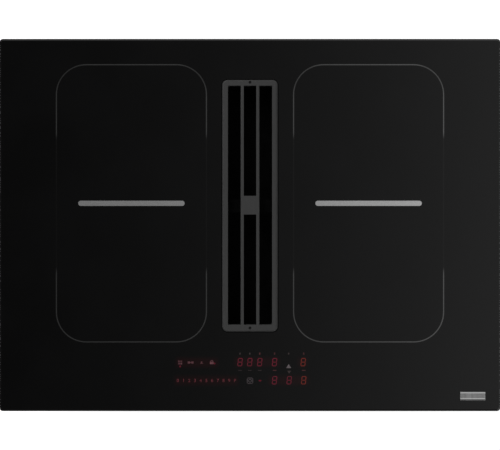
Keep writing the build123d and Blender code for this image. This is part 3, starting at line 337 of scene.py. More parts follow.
def build_brushing():
    """Fine lines left by brushing or drawing the metal along Y."""
    group, given, result = new_group(
        "brushed_lines",
        [
            ("Dark", "NodeSocketColor", (0.4, 0.4, 0.4, 1)),
            ("Light", "NodeSocketColor", (0.5, 0.5, 0.5, 1)),
            ("Depth", "NodeSocketFloat", 0.00001),
        ],
        [("Colour", "NodeSocketColor"), ("Mask", "NodeSocketFloat"), ("Normal", "NodeSocketVector")],
    )
    lines = texture(group, "ShaderNodeTexNoise", (2600.0, 40.0, 2600.0), Detail=3.0)
    share = smooth_range(group, lines.outputs["Fac"], 0.3, 0.7, 0.0, 1.0)
    colour = mixed_colour(group, share, given.outputs["Dark"], given.outputs["Light"])
    group.links.new(colour, result.inputs["Colour"])
    group.links.new(share, result.inputs["Mask"])
    relief = place_node(group, "ShaderNodeBump")
    relief.inputs["Strength"].default_value = 0.5
    group.links.new(given.outputs["Depth"], relief.inputs["Distance"])
    group.links.new(lines.outputs["Fac"], relief.inputs["Height"])
    group.links.new(relief.outputs[0], result.inputs["Normal"])
    return group


soft_patches = build_patches()
fine_grain = build_grain()
brushed_lines = build_brushing()


# ------------------------------------------------------------------ finishes
def new_finish(name, metal=0.0, rough=0.5, **sockets):
    """A material with its tree and its surface shader."""
    material = bpy.data.materials.new(name)
    material.use_nodes = True
    tree = material.node_tree
    skin = tree.nodes["Principled BSDF"]
    skin.inputs["Metallic"].default_value = metal
    skin.inputs["Roughness"].default_value = rough
    for label, value in sockets.items():
        skin.inputs[label.replace("_", " ")].default_value = value
    return material, tree, skin


def use_group(tree, group, **sockets):
    """The group placed in a material, with its own values."""
    made = place_node(tree, "ShaderNodeGroup", node_tree=group)
    for label, value in sockets.items():
        made.inputs[label].default_value = value
    return made


def grey(level, warmth=0.0):
    """A grey, a little warmer or cooler."""
    return (level * (1 + warmth), level, level * (1 - warmth), 1)


def patchy_finish(name, dark, light, smooth, dull, scale=25.0, metal=0.0, grain=0.0):
    """A finish of two close colours and two close glosses in soft patches, with a grain."""
    material, tree, skin = new_finish(name, metal)
    patches = use_group(
        tree, soft_patches, Dark=dark, Light=light, Scale=scale, Smooth=smooth, Dull=dull
    )
    tree.links.new(patches.outputs["Colour"], skin.inputs["Base Color"])
    tree.links.new(patches.outputs["Gloss"], skin.inputs["Roughness"])
    if grain:
        relief = use_group(tree, fine_grain, Scale=MOULDED_GRAIN, Depth=grain)
        tree.links.new(relief.outputs["Normal"], skin.inputs["Normal"])
    return material


def drawn_finish(name, dark, light, smooth, dull, depth):
    """A brushed or drawn metal."""
    material, tree, skin = new_finish(name, 1.0)
    lines = use_group(tree, brushed_lines, Dark=dark, Light=light, Depth=depth)
    tree.links.new(lines.outputs["Colour"], skin.inputs["Base Color"])
    tree.links.new(lines.outputs["Normal"], skin.inputs["Normal"])
    gloss = smooth_range(tree, lines.outputs["Mask"], 0.0, 1.0, smooth, dull)
    tree.links.new(gloss, skin.inputs["Roughness"])
    return material


# patches of glow round the lit signs: middle and reach across, middle along, strength
GLOW_PATCHES = (
    (-0.074, 0.029, -0.192, 0.4),
    (-0.061, 0.044, -0.2172, 0.34),
    (0.010, 0.031, -0.1912, 0.38),
    (0.074, 0.007, -0.1915, 0.32),
    (0.054, 0.028, -0.2168, 0.36),
)
# how softly a patch ends to either side, and where it starts and stops fading along
GLOW_SOFTNESS = 0.004
GLOW_CORE = 0.002
GLOW_END = 0.0105
NO_LIGHT = (0.0, 0.0, 0.0, 1)
GLOW_RED = (0.012, 0.0003, 0.001, 1)


def display_glow(tree):
    """The red light of the display that spreads in the glass round its rows of signs."""
    place = split_axes(tree, object_place(tree))
    glow = None
    for x, reach, y, strength in GLOW_PATCHES:
        across = soft_band(tree, place["X"], x, reach - GLOW_SOFTNESS, reach + GLOW_SOFTNESS)
        along = soft_band(tree, place["Y"], y, GLOW_CORE, GLOW_END)
        share = math_node(tree, "MULTIPLY", math_node(tree, "MULTIPLY", across, along), strength)
        glow = share if glow is None else math_node(tree, "MAXIMUM", glow, share)
    return mixed_colour(tree, glow, NO_LIGHT, GLOW_RED)


def black_glass():
    """Black ceramic glass with the faintest haze in its gloss and a bevel painted paler as a painted
    highlight.
    """
    material, tree, skin = new_finish("black_glass", IOR=1.5, Emission_Strength=1.0)
    haze = use_group(
        tree,
        soft_patches,
        Dark=(0.0009, 0.0009, 0.00095, 1),
        Light=(0.0014, 0.0014, 0.0015, 1),
        Scale=9.0,
        Smooth=0.05,
        Dull=0.09,
    )
    facing = place_node(tree, "ShaderNodeNewGeometry").outputs["True Normal"]
    slope = split_axes(tree, facing)["Z"]
    tilted = smooth_range(tree, slope, 0.94, 0.98, 1.0, 0.0)
    upward = smooth_range(tree, slope, 0.5, 0.9, 0.0, 1.0)
    bevel = math_node(tree, "MULTIPLY", tilted, upward)
    # painted highlight: the bevel's colour is painted paler than the face's
    colour = mixed_colour(tree, bevel, haze.outputs["Colour"], grey(0.009))
    tree.links.new(colour, skin.inputs["Base Color"])
    tree.links.new(haze.outputs["Gloss"], skin.inputs["Roughness"])
    tree.links.new(display_glow(tree), skin.inputs["Emission Color"])
    return material


# the middle of the right-hand zone; distances from it at which the ink changes, start and end
ZONE_X = 0.1656
ZONE_Y = 0.0303
SIDE_LINES = (0.098, 0.102)
THIN_STRETCH = (0.088, 0.1)
BAR_HALF = (0.006, 0.008)
CORNER_START = (0.06, 0.085)
BACK_START = (0.145, 0.17)
# how much dimmer the ink is made at the back corners
CORNER_DIMMING = 0.28


def silver_print():
    """Screen-printed silver-grey ink, thinner along the middle of the tall lines, with painted light
    that makes it lighter to the right and to the back.
    """
    material, tree, skin = new_finish("silver_print", metal=0.82, rough=0.1)
    place = split_axes(tree, object_place(tree))
    outward = math_node(tree, "ABSOLUTE", place["X"])
    from_side = math_node(tree, "ABSOLUTE", math_node(tree, "SUBTRACT", outward, ZONE_X))
    on_side = smooth_range(tree, from_side, *SIDE_LINES, 0.0, 1.0)
    rearward = math_node(tree, "SUBTRACT", place["Y"], ZONE_Y)
    from_middle = math_node(tree, "ABSOLUTE", rearward)
    in_middle = smooth_range(tree, from_middle, *THIN_STRETCH, 1.0, 0.0)
    thin = math_node(tree, "MULTIPLY", on_side, in_middle)
    is_bar = smooth_range(tree, from_middle, *BAR_HALF, 1.0, 0.0)
    bar = math_node(tree, "MULTIPLY", is_bar, math_node(tree, "SUBTRACT", 1.0, on_side))
    dots = texture(tree, "ShaderNodeTexNoise", 900.0, Detail=2.0)
    speck = smooth_range(tree, dots.outputs["Fac"], 0.3, 0.7, 0.86, 1.0)
    line = mixed_colour(tree, thin, grey(0.16), grey(0.032))
    ink = mixed_colour(tree, bar, line, grey(0.9))
    # painted light: the lines are painted lighter to the right and to the back, the bars lighter to
    # the right
    across = smooth_range(tree, place["X"], -0.3, 0.3, 0.84, 1.3)
    along = smooth_range(tree, place["Y"], -0.16, 0.22, 0.91, 1.06)
    bar_painted_light = smooth_range(tree, place["X"], -0.2, 0.2, 0.92, 1.06)
    line_painted_light = math_node(tree, "MULTIPLY", across, along)
    # the bars take their own painted light in place of the lines'
    painted_light_swap = math_node(tree, "MULTIPLY", bar, math_node(tree, "SUBTRACT", bar_painted_light, line_painted_light))
    # the ink is made dimmer toward the back corners
    toward_side = smooth_range(tree, from_side, *CORNER_START, 0.0, 1.0)
    toward_back = smooth_range(tree, rearward, *BACK_START, 0.0, CORNER_DIMMING)
    fade = math_node(tree, "MULTIPLY", toward_side, toward_back)
    specks_and_corner_dimming = math_node(tree, "MULTIPLY", speck, math_node(tree, "SUBTRACT", 1.0, fade))
    ink_specks_and_painted_light = math_node(tree, "MULTIPLY", math_node(tree, "ADD", line_painted_light, painted_light_swap), specks_and_corner_dimming)
    tree.links.new(toned_colour(tree, ink, ink_specks_and_painted_light), skin.inputs["Base Color"])
    return material


# the stretch along which the grille is painted lighter to the front and darker to the back, as painted
# light, and the one across its right rim, which is painted darker as painted shade
GRILLE_PAINTED_LIGHT_STRETCH = (-0.16, 0.16)
GRILLE_PAINTED_SHADE_RIM = (0.0345, 0.039)


def grille_skin():
    """Dark anodised aluminium with lines drawn along the bars, painted lighter to the front as painted
    light and darker on the right rim as painted shade.
    """
    material, tree, skin = new_finish("dark_anodised", metal=0.15)
    lines = use_group(tree, brushed_lines, Dark=grey(0.033), Light=grey(0.04), Depth=0.000006)
    place = split_axes(tree, object_place(tree))
    painted_light_lengthwise = smooth_range(tree, place["Y"], *GRILLE_PAINTED_LIGHT_STRETCH, 1.08, 0.95)
    painted_shade_at_rim = smooth_range(tree, place["X"], *GRILLE_PAINTED_SHADE_RIM, 1.0, 0.5)
    # painted light along the grille, times the painted shade on its right rim
    tone = math_node(tree, "MULTIPLY", painted_light_lengthwise, painted_shade_at_rim)
    colour = toned_colour(tree, lines.outputs["Colour"], tone)
    tree.links.new(colour, skin.inputs["Base Color"])
    tree.links.new(lines.outputs["Normal"], skin.inputs["Normal"])
    gloss = smooth_range(tree, lines.outputs["Mask"], 0.0, 1.0, 0.55, 0.64)
    tree.links.new(gloss, skin.inputs["Roughness"])
    return material


def zinc_coating():
    """Galvanised sheet: crystal patches of slightly different grey and gloss."""
    material, tree, skin = new_finish("zinc_coating", metal=0.9)
    crystals = texture(tree, "ShaderNodeTexVoronoi", 135.0)
    shade = place_node(tree, "ShaderNodeSeparateColor")
    tree.links.new(crystals.outputs["Color"], shade.inputs[0])
    colour = mixed_colour(tree, shade.outputs[0], grey(0.43, -0.01), grey(0.55, -0.02))
    tree.links.new(colour, skin.inputs["Base Color"])
    gloss = smooth_range(tree, shade.outputs[1], 0.0, 1.0, 0.36, 0.52)
    tree.links.new(gloss, skin.inputs["Roughness"])
    relief = use_group(tree, fine_grain, Scale=420.0, Depth=0.00001)
    tree.links.new(relief.outputs["Normal"], skin.inputs["Normal"])
    return material


def foam_skin():
    """Closed-cell foam tape."""
    material, tree, skin = new_finish("foam_tape", rough=0.95)
    cells = texture(tree, "ShaderNodeTexVoronoi", 1400.0)
    share = smooth_range(tree, cells.outputs["Distance"], 0.0, 0.6, 0.0, 1.0)
    colour = mixed_colour(tree, share, grey(0.02), grey(0.05))
    tree.links.new(colour, skin.inputs["Base Color"])
    relief = place_node(tree, "ShaderNodeBump")
    relief.inputs["Distance"].default_value = 0.0002
    tree.links.new(cells.outputs["Distance"], relief.inputs["Height"])
    tree.links.new(relief.outputs[0], skin.inputs["Normal"])
    return material


def board_skin():
    """Green circuit board with tracks and pale pads."""
    material, tree, skin = new_finish("circuit_board", rough=0.35)
    tracks = texture(tree, "ShaderNodeTexBrick", 160.0)
    tracks.inputs["Color1"].default_value = (0.012, 0.09, 0.035, 1)
    tracks.inputs["Color2"].default_value = (0.016, 0.11, 0.045, 1)
    tracks.inputs["Mortar"].default_value = (0.03, 0.2, 0.08, 1)
    tracks.inputs["Mortar Size"].default_value = 0.04
    pads = texture(tree, "ShaderNodeTexVoronoi", 120.0)
    dots = smooth_range(tree, pads.outputs["Distance"], 0.13, 0.16, 1.0, 0.0)
    colour = mixed_colour(tree, dots, tracks.outputs["Color"], (0.55, 0.55, 0.52, 1))
    tree.links.new(colour, skin.inputs["Base Color"])
    return material


def mica_skin():
    """Pressed mica paper with small bright flakes."""
    material, tree, skin = new_finish("mica_paper")
    flakes = texture(tree, "ShaderNodeTexVoronoi", 700.0)
    shade = place_node(tree, "ShaderNodeSeparateColor")
    tree.links.new(flakes.outputs["Color"], shade.inputs[0])
    colour = mixed_colour(tree, shade.outputs[0], (0.42, 0.35, 0.25, 1), (0.66, 0.6, 0.5, 1))
    tree.links.new(colour, skin.inputs["Base Color"])
    gloss = smooth_range(tree, shade.outputs[1], 0.0, 1.0, 0.25, 0.7)
    tree.links.new(gloss, skin.inputs["Roughness"])
    return material


def lit_finish(name, dim, bright):
    """Light that shines through the glass, a little uneven."""
    material, tree, skin = new_finish(name, rough=0.3, Emission_Strength=1.0)
    skin.inputs["Base Color"].default_value = (0.004, 0.002, 0.002, 1)
    cloud = use_group(tree, soft_patches, Dark=dim, Light=bright, Scale=260.0)
    tree.links.new(cloud.outputs["Colour"], skin.inputs["Emission Color"])
    return material


FINISHES = {
    "black_glass": black_glass(),
    "seal_foam": foam_skin(),
    "print_grey": silver_print(),
    "plate_metal": drawn_finish("brushed_plate", grey(0.5), grey(0.66), 0.3, 0.42, 0.00001),
    "grille_metal": grille_skin(),
    "silicone": patchy_finish("silicone", grey(0.05), grey(0.075), 0.5, 0.62),
    "black_moulding": patchy_finish(
        "black_moulding", grey(0.018), grey(0.026), 0.42, 0.55, grain=0.00006
    ),
    "grey_moulding": patchy_finish(
        "grey_moulding", grey(0.085), grey(0.11), 0.42, 0.56, grain=0.00006
    ),
    # a black filter, painted darker still as the shade under the grille's slots
    "filter_steel": patchy_finish(
        "filter_black_and_painted_shade", grey(0.0018), grey(0.003), 0.5, 0.62, 60.0, grain=0.00004
    ),
    "zinc_sheet": zinc_coating(),
    "alloy": drawn_finish("mill_alloy", grey(0.6), grey(0.72), 0.3, 0.45, 0.00001),
    "copper_winding": patchy_finish(
        "copper_winding",
        (0.42, 0.15, 0.06, 1),
        (0.6, 0.26, 0.12, 1),
        0.28,
        0.4,
        220.0,
        metal=0.9,
        grain=0.0001,
    ),
    "mica": mica_skin(),
    "ferrite": patchy_finish("ferrite", grey(0.035), grey(0.055), 0.5, 0.75, 120.0, grain=0.0001),
    "circuit_board": board_skin(),
    "component": patchy_finish(
        "component", (0.02, 0.035, 0.1, 1), (0.03, 0.05, 0.13, 1), 0.25, 0.36, 60.0
    ),
    "display": patchy_finish(
        "display", (0.1, 0.008, 0.008, 1), (0.14, 0.014, 0.012, 1), 0.2, 0.3, 80.0
    ),
    "plated_steel": patchy_finish(
        "plated_steel", grey(0.5), grey(0.62), 0.25, 0.4, 160.0, metal=1.0, grain=0.00002
    ),
    "motor_steel": patchy_finish(
        "motor_steel", grey(0.07), grey(0.1), 0.35, 0.5, 60.0, metal=0.5, grain=0.00004
    ),
    "light_moulding": patchy_finish(
        "light_moulding", grey(0.5, 0.01), grey(0.57, 0.015), 0.4, 0.52, grain=0.00005
    ),
}

# the filter is black, painted darker still and made to hardly shine, as painted shade that keeps it
# dark under the slots
filter_shade_skin = FINISHES["filter_steel"].node_tree.nodes["Principled BSDF"]
filter_shade_skin.inputs["Specular IOR Level"].default_value = 0.02

SLOT_OF = {part["node"]: part["material_slot"] for part in frame["record"]["subparts"]}
for name, node in cad.items():
    node.data.materials.clear()
    node.data.materials.append(FINISHES[SLOT_OF[name]])

LIT_RED = lit_finish("lit_red", (0.073, 0.0034, 0.0105, 1), (0.107, 0.005, 0.0165, 1))
LIT_ORANGE = lit_finish("lit_orange", (0.09, 0.0088, 0.0045, 1), (0.126, 0.0124, 0.0064, 1))
LIT_LEVEL = lit_finish("lit_level", (0.07, 0.01, 0.015, 1), (0.125, 0.022, 0.029, 1))
LIT_PINK = lit_finish("lit_pink", (0.046, 0.015, 0.019, 1), (0.076, 0.03, 0.036, 1))
LIT_LOCK = lit_finish("lit_lock", (0.085, 0.032, 0.038, 1), (0.13, 0.052, 0.062, 1))
LIT_GREY = lit_finish("lit_grey", (0.065, 0.055, 0.058, 1), (0.1, 0.085, 0.09, 1))
LIT_KEY = lit_finish("lit_key", (0.034, 0.028, 0.031, 1), (0.048, 0.041, 0.044, 1))
LIT_FAINT = lit_finish("lit_faint", (0.02, 0.014, 0.014, 1), (0.03, 0.022, 0.022, 1))
LIT_DIM_RED = lit_finish("lit_dim_red", (0.034, 0.009, 0.01, 1), (0.05, 0.014, 0.015, 1))


# ------------------------------------------------------------------ new pieces
def keep_piece(name, mesh, slot, *materials):
    """A new piece on the chassis from a finished mesh."""
    for material in materials:
        mesh.materials.append(material)
    piece = bpy.data.objects.new(name, mesh)
    bpy.context.scene.collection.objects.link(piece)
    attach(piece, "chassis")
    return piece


def mesh_from(name, shape):
    """A mesh from a bmesh, which is freed."""
    bmesh.ops.recalc_face_normals(shape, faces=shape.faces)
    mesh = bpy.data.meshes.new(name)
    shape.to_mesh(mesh)
    shape.free()
    return mesh


# ------------------------------------------------------------------ the lit touch control
MARK_THICKNESS = 0.00005


def lit_piece(name, shape, material):
    """A thin lit piece on the glass, from a bmesh drawn in the plane Z = 0."""
    for face in shape.faces:
        face.normal_update()
    extruded = bmesh.ops.extrude_face_region(shape, geom=shape.faces[:])
    moved = [item for item in extruded["geom"] if isinstance(item, bmesh.types.BMVert)]
    bmesh.ops.translate(shape, verts=moved, vec=(0, 0, MARK_THICKNESS))
    bmesh.ops.translate(shape, verts=shape.verts, vec=(0, 0, GLASS_FACE))
    keep_piece(name, mesh_from(name, shape), "display", material)


def add_stroke(shape, x, y, width, height, turn=0.0, tip=0.0, lean=0.0):
    """A flat bar centred on a point, in millimetres; with a tip, its ends run out to points."""
    if tip:
        verts = bmesh.ops.create_circle(shape, cap_ends=True, segments=6, radius=1.0)["verts"]
        bmesh.ops.rotate(shape, verts=verts, matrix=Matrix.Rotation(math.pi / 2, 3, "Z"))
        for vert in verts:
            reach = width / 2 if abs(vert.co.y) < 0.1 else width / 2 - tip
            vert.co.x = math.copysign(reach, vert.co.x)
            vert.co.y = vert.co.y / math.sin(math.pi / 3) * height / 2
        bmesh.ops.scale(shape, verts=verts, vec=(MM, MM, 1))
    else:
        verts = bmesh.ops.create_grid(shape, x_segments=1, y_segments=1, size=0.5)["verts"]
        bmesh.ops.scale(shape, verts=verts, vec=(width * MM, height * MM, 1))
    bmesh.ops.rotate(shape, verts=verts, matrix=Matrix.Rotation(math.radians(turn), 3, "Z"))
    for vert in verts:
        vert.co.x += lean * vert.co.y
    bmesh.ops.translate(shape, verts=verts, vec=(x * MM, y * MM, 0))


def add_ring(shape, x, y, outer, inner, segments, sweep=360.0):
    """A flat ring or arc round a point, in millimetres, spun from one radial edge."""
    first = shape.verts.new(((x + outer) * MM, y * MM, 0))
    second = shape.verts.new(((x + inner) * MM, y * MM, 0))
    bmesh.ops.spin(
        shape,
        geom=[first, second, shape.edges.new((first, second))],
        cent=(x * MM, y * MM, 0),
        axis=(0, 0, 1),
        angle=math.radians(sweep),
        steps=segments,
        use_merge=sweep >= 360.0,
    )


# sizes and places of the lit figures, in millimetres; LEAN is a share of the height
DIGIT_WIDTH = 5.6
DIGIT_HEIGHT = 10.4
STROKE = 1.15
STROKE_TIP = 0.55
STROKE_GAP = 0.3
LEAN = 0.1
UPPER_ROW = -191.5
LOWER_ROW = -216.8
FIRST_COLUMN = -13.9
SECOND_COLUMN = -0.3
THIRD_COLUMN = 13.6
FOURTH_COLUMN = 34.3
ARROW_COLUMN = 54.0
LAST_COLUMN = 75.0
RED_FIGURES = (
    (FIRST_COLUMN, UPPER_ROW),
    (SECOND_COLUMN, UPPER_ROW),
    (THIRD_COLUMN, UPPER_ROW),
    (FOURTH_COLUMN, UPPER_ROW),
    (FOURTH_COLUMN, LOWER_ROW),
    (ARROW_COLUMN + 0.7, LOWER_ROW),
)
ORANGE_FIGURES = (
    (LAST_COLUMN - 0.7, UPPER_ROW),
    (LAST_COLUMN, LOWER_ROW),
)


def add_digit(shape, x, y):
    """A seven-segment figure eight, slightly slanted."""
    half = DIGIT_HEIGHT / 2
    for rise in (-half, 0, half):
        add_stroke(
            shape, x + LEAN * rise, y + rise, DIGIT_WIDTH - STROKE_GAP, STROKE, tip=STROKE_TIP
        )
    for side in (-1, 1):
        for rise in (-half / 2, half / 2):
            add_stroke(
                shape,
                x + side * DIGIT_WIDTH / 2 + LEAN * rise,
                y + rise,
                half - STROKE_GAP,
                STROKE,
                turn=90,
                tip=STROKE_TIP,
                lean=LEAN,
            )


def lit_digits():
    """The red figures in two rows, the right-hand column more orange."""
    for name, places, material in (
        ("lit_digits_red", RED_FIGURES, LIT_RED),
        ("lit_digits_orange", ORANGE_FIGURES, LIT_ORANGE),
    ):
        figures = bmesh.new()
        for x, y in places:
            add_digit(figures, x, y)
        lit_piece(name, figures, material)


lit_digits()


# size, first place, step and row of the level figures, in millimetres
LEVEL_SIZE = 6.4
LEVEL_START = -100.8
LEVEL_STEP = 7.98
LEVEL_ROW = -217.4


def level_scale():
    """The row of power levels, 0 to 9 and P, as small figures."""
    marks = bmesh.new()
    for place, sign in enumerate("0123456789P"):
        text = bpy.data.curves.new("level", "FONT")
        text.body = sign
        text.size = LEVEL_SIZE * MM
        text.align_x = "CENTER"
        text.align_y = "CENTER"
        drawn = bpy.data.objects.new("level", text)
        mesh = bpy.data.meshes.new_from_object(drawn)
        across = LEVEL_START + LEVEL_STEP * place
        mesh.transform(Matrix.Translation((across * MM, LEVEL_ROW * MM, 0)))
        marks.from_mesh(mesh)
        bpy.data.objects.remove(drawn)
        bpy.data.meshes.remove(mesh)
    lit_piece("level_scale", marks, LIT_LEVEL)


level_scale()


def add_triangle(shape, x, y, width, height):
    """A flat triangle centred on a point, in millimetres; a negative height points it down."""
    verts = bmesh.ops.create_circle(shape, cap_ends=True, segments=3, radius=1.0)["verts"]
    bmesh.ops.translate(shape, verts=verts, vec=(0, -0.25, 0))
    bmesh.ops.scale(
        shape, verts=verts, vec=(width * MM / math.sqrt(3), height * MM / 1.5, 1)
    )
    bmesh.ops.translate(shape, verts=verts, vec=(x * MM, y * MM, 0))


# rows of the small signs, in millimetres
KEY_ROW = -192.0
UPPER_MARKS = -179.6
LOWER_MARKS = -203.0
POWER_ROW = -217.5


def key_icons():
    """Three of the signs over the levels: four plates, two linked plates and a small bell."""
    signs = bmesh.new()
    for x in (-99.2, -96.0):
        for y in (KEY_ROW - 1.6, KEY_ROW + 1.6):
            add_stroke(signs, x, y, 2.4, 2.4)
    for x in (-85.4, -80.4):
        add_stroke(signs, x, KEY_ROW, 3.2, 3.0)
    add_stroke(signs, -82.9, KEY_ROW, 2.4, 0.9)
    add_stroke(signs, -67.6, KEY_ROW - 1.4, 4.4, 0.7)
    add_stroke(signs, -67.6, KEY_ROW + 0.2, 2.2, 2.2)
    lit_piece("key_icons", signs, LIT_PINK)


def lock_icon():
    """The fourth sign over the levels, a padlock."""
    lock = bmesh.new()
    add_stroke(lock, -53.4, KEY_ROW - 0.6, 5.2, 3.4)
    add_ring(lock, -53.4, KEY_ROW + 1.0, 2.1, 1.3, 10, 180.0)
    lit_piece("lock_icon", lock, LIT_LOCK)


def key_lights():
    """Small red lights by two of the signs, and one with a bar beside the power key."""
    lights = bmesh.new()
    beside_power = 14.0
    for x, y in ((-97.6, -197.4), (-49.6, -193.4), (beside_power, LEVEL_ROW)):
        add_ring(lights, x, y, 1.3, 0.3, 12)
    add_stroke(lights, beside_power, LEVEL_ROW, 4.2, 0.9)
    lit_piece("key_lights", lights, LIT_RED)


def figure_marks():
    """Short marks over and under the figures, some faint and some ruddy."""
    faint = bmesh.new()
    for x in (FIRST_COLUMN, SECOND_COLUMN, ARROW_COLUMN):
        add_stroke(faint, x, UPPER_MARKS, 1.8, 2.6)
    for x in (FIRST_COLUMN, SECOND_COLUMN, THIRD_COLUMN):
        add_stroke(faint, x, LOWER_MARKS, 5.0, 0.6)
    add_triangle(faint, ARROW_COLUMN + 0.6, LOWER_MARKS - 2.5, 5.6, -4.0)
    lit_piece("faint_marks", faint, LIT_FAINT)
    ruddy = bmesh.new()
    for x in (THIRD_COLUMN, FOURTH_COLUMN, LAST_COLUMN):
        add_stroke(ruddy, x, UPPER_MARKS, 1.8, 3.0)
    for x in (FOURTH_COLUMN, LAST_COLUMN):
        add_stroke(ruddy, x, LOWER_MARKS, 5.0, 1.2)
    lit_piece("ruddy_marks", ruddy, LIT_DIM_RED)


def power_key():
    """The power key: a square frame with open corners round a ring."""
    key = bmesh.new()
    for side in (-1, 1):
        add_stroke(key, side * 3.8, POWER_ROW, 1.0, 6.6)
        add_stroke(key, 0, POWER_ROW + side * 3.8, 6.6, 1.0)
    add_ring(key, 0, POWER_ROW, 2.5, 1.5, 20)
    lit_piece("power_key", key, LIT_KEY)


def arrow_key():
    """The grey arrow that points up, between the figures."""
    arrow = bmesh.new()
    add_triangle(arrow, ARROW_COLUMN, -197.0, 7.0, 5.6)
    lit_piece("arrow_key", arrow, LIT_GREY)


key_icons()
lock_icon()
key_lights()
figure_marks()
power_key()
arrow_key()


# ------------------------------------------------------------------ metal plate at the corner
# the plate's foot, painted dark as shade, the bright band over it and the one along its back, its
# bevel, and how deep its field is sunk
PLATE_SHADED_FOOT = 0.00195
PLATE_FRONT_BAND = 0.00145
PLATE_BACK_BAND = 0.0021
PLATE_BEVEL = 0.0004
PLATE_SUNK = 0.0001
# a face whose normal rises by more than this lies flat
FLAT = 0.99
# how near the top an edge's end counts as being on it
TOP_TOLERANCE = 0.000001


def flat_faces(shape):
    """The faces that lie flat and look up."""
    return [face for face in shape.faces if face.normal.z > FLAT]


def badge_face():
    """The bare plate: bevelled, with a sunk brushed field between two bright bands and a foot; the
    foot and the bevel are painted dark as painted shade.
    """
    low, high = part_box("badge_plate")
    size = high - low
    shape = bmesh.new()
    bmesh.ops.create_cube(shape, size=1.0)
    bmesh.ops.scale(shape, verts=shape.verts, vec=size)
    bmesh.ops.translate(shape, verts=shape.verts, vec=(low + high) / 2)
    near_top = high.z - TOP_TOLERANCE
    rim = [edge for edge in shape.edges if max(vert.co.z for vert in edge.verts) > near_top]
    bmesh.ops.bevel(
        shape, geom=rim, offset=PLATE_BEVEL, segments=2, profile=0.5, affect="EDGES", material=-1
    )
    # the bevel's faces take the dark finish, as painted shade
    for face in shape.faces:
        if 1 - FLAT < face.normal.z < FLAT:
            face.material_index = 1
    shaded_foot_top = low.y + PLATE_SHADED_FOOT
    for place in (shaded_foot_top, shaded_foot_top + PLATE_FRONT_BAND, high.y - PLATE_BACK_BAND):
        faces = flat_faces(shape)
        edges = {edge for face in faces for edge in face.edges}
        verts = {vert for face in faces for vert in face.verts}
        bmesh.ops.bisect_plane(
            shape,
            geom=faces + list(edges) + list(verts),
            plane_co=(0, place, 0),
            plane_no=(0, 1, 0),
        )
    strips = sorted(flat_faces(shape), key=lambda face: face.calc_center_median().y)
    shaded_foot, _, field, _ = strips
    shaded_foot.material_index = 1
    field.material_index = 2
    bmesh.ops.inset_individual(shape, faces=[field], thickness=2 * PLATE_SUNK, depth=-PLATE_SUNK)
    bands = drawn_finish("plate_bands", grey(0.94), grey(1.0), 0.08, 0.14, 0.000002)
    # painted shade: the dark finish of the bevel and the foot
    edge = drawn_finish("plate_painted_shade_edge", grey(0.19), grey(0.27), 0.34, 0.44, 0.00001)
    sunk = drawn_finish("plate_field", grey(0.38), grey(0.53), 0.34, 0.44, 0.00001)
    mesh = mesh_from("badge_face", shape)
    piece = keep_piece("badge_face", mesh, "plate_metal", bands, edge, sunk)
    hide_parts("badge_plate")


badge_face()


# ------------------------------------------------------------------ induction coils
# thickness of the wire, turns in a layer, straight steps in a turn, radius of the first turn
COIL_WIRE = 0.0028
COIL_TURNS = 19
COIL_STEPS = 32
COIL_EYE = 0.0268
# a turn's outline is nearly round at the eye (2 is a circle) and squarer toward the outside
EYE_SQUARENESS = 2.1
OUTER_SQUARENESS = 2.7
# turns that the wire takes to cross from the lower layer to the upper one
COIL_CROSSING = 0.5


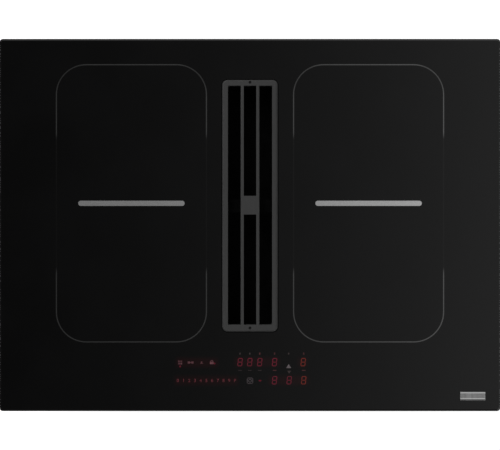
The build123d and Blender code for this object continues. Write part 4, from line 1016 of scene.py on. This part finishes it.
def wound_coil(node):
    """A flat coil of one stranded wire: a layer of turns wound outwards, a second one back in."""
    low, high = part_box(node)
    middle = (low + high) / 2
    outer = (high.x - low.x - COIL_WIRE) / 2
    layer = (high.z - low.z - COIL_WIRE) / 2
    wire = bpy.data.curves.new(node, "CURVE")
    wire.dimensions = "3D"
    wire.bevel_depth = COIL_WIRE / 2
    wire.bevel_resolution = 2
    wire.use_fill_caps = True
    line = wire.splines.new("POLY")
    line.points.add(2 * COIL_TURNS * COIL_STEPS)
    for step, point in enumerate(line.points):
        turn = step / COIL_STEPS
        share = 1 - abs(turn / COIL_TURNS - 1)
        reach = COIL_EYE + (outer - COIL_EYE) * share
        square = EYE_SQUARENESS + (OUTER_SQUARENESS - EYE_SQUARENESS) * share
        angle = 2 * math.pi * turn
        across, along = math.cos(angle), math.sin(angle)
        reach /= (abs(across) ** square + abs(along) ** square) ** (1 / square)
        rise = max(-1.0, min(1.0, 2 * (turn - COIL_TURNS) / COIL_CROSSING))
        point.co = (
            middle.x + reach * across,
            middle.y + reach * along,
            middle.z + layer * rise,
            1,
        )
    drawn = bpy.data.objects.new(node, wire)
    mesh = bpy.data.meshes.new_from_object(drawn)
    bpy.data.objects.remove(drawn)
    name = "winding_" + node.removeprefix("coil_")
    piece = keep_piece(name, mesh, "copper_winding", FINISHES["copper_winding"])
    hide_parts(node)


for row in ("front", "back"):
    for hand in ("left", "right"):
        wound_coil(f"coil_{row}_{hand}")


# ------------------------------------------------------------------ grip of the cable gland
# GRIP_RADIUS is to the middle of a rib; the ribs start GRIP_START in from the gland's back end
GRIP_RIBS = 20
GRIP_RADIUS = 0.011
GRIP_START = 0.0035
GRIP_WIDTH = 0.0014
GRIP_LENGTH = 0.008
GRIP_HEIGHT = 0.0012
GRIP_EDGE = 0.0003


def gland_ribs():
    """Grip ribs round the gland's cap nut."""
    low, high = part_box("cable_gland")
    middle = (low + high) / 2
    shape = bmesh.new()
    for place in range(GRIP_RIBS):
        verts = bmesh.ops.create_cube(shape, size=1.0)["verts"]
        bmesh.ops.scale(shape, verts=verts, vec=(GRIP_WIDTH, GRIP_LENGTH, GRIP_HEIGHT))
        bmesh.ops.translate(
            shape, verts=verts, vec=(0, high.y - GRIP_START - GRIP_LENGTH / 2, GRIP_RADIUS)
        )
        turn = Matrix.Rotation(2 * math.pi * place / GRIP_RIBS, 3, "Y")
        bmesh.ops.rotate(shape, verts=verts, matrix=turn)
    bmesh.ops.translate(shape, verts=shape.verts, vec=(middle.x, 0, middle.z))
    bmesh.ops.bevel(
        shape,
        geom=shape.edges[:],
        offset=GRIP_EDGE,
        segments=1,
        profile=0.5,
        affect="EDGES",
        material=-1,
    )
    finish = SLOT_OF["cable_gland"]
    keep_piece("gland_ribs", mesh_from("gland_ribs", shape), finish, FINISHES[finish])


gland_ribs()
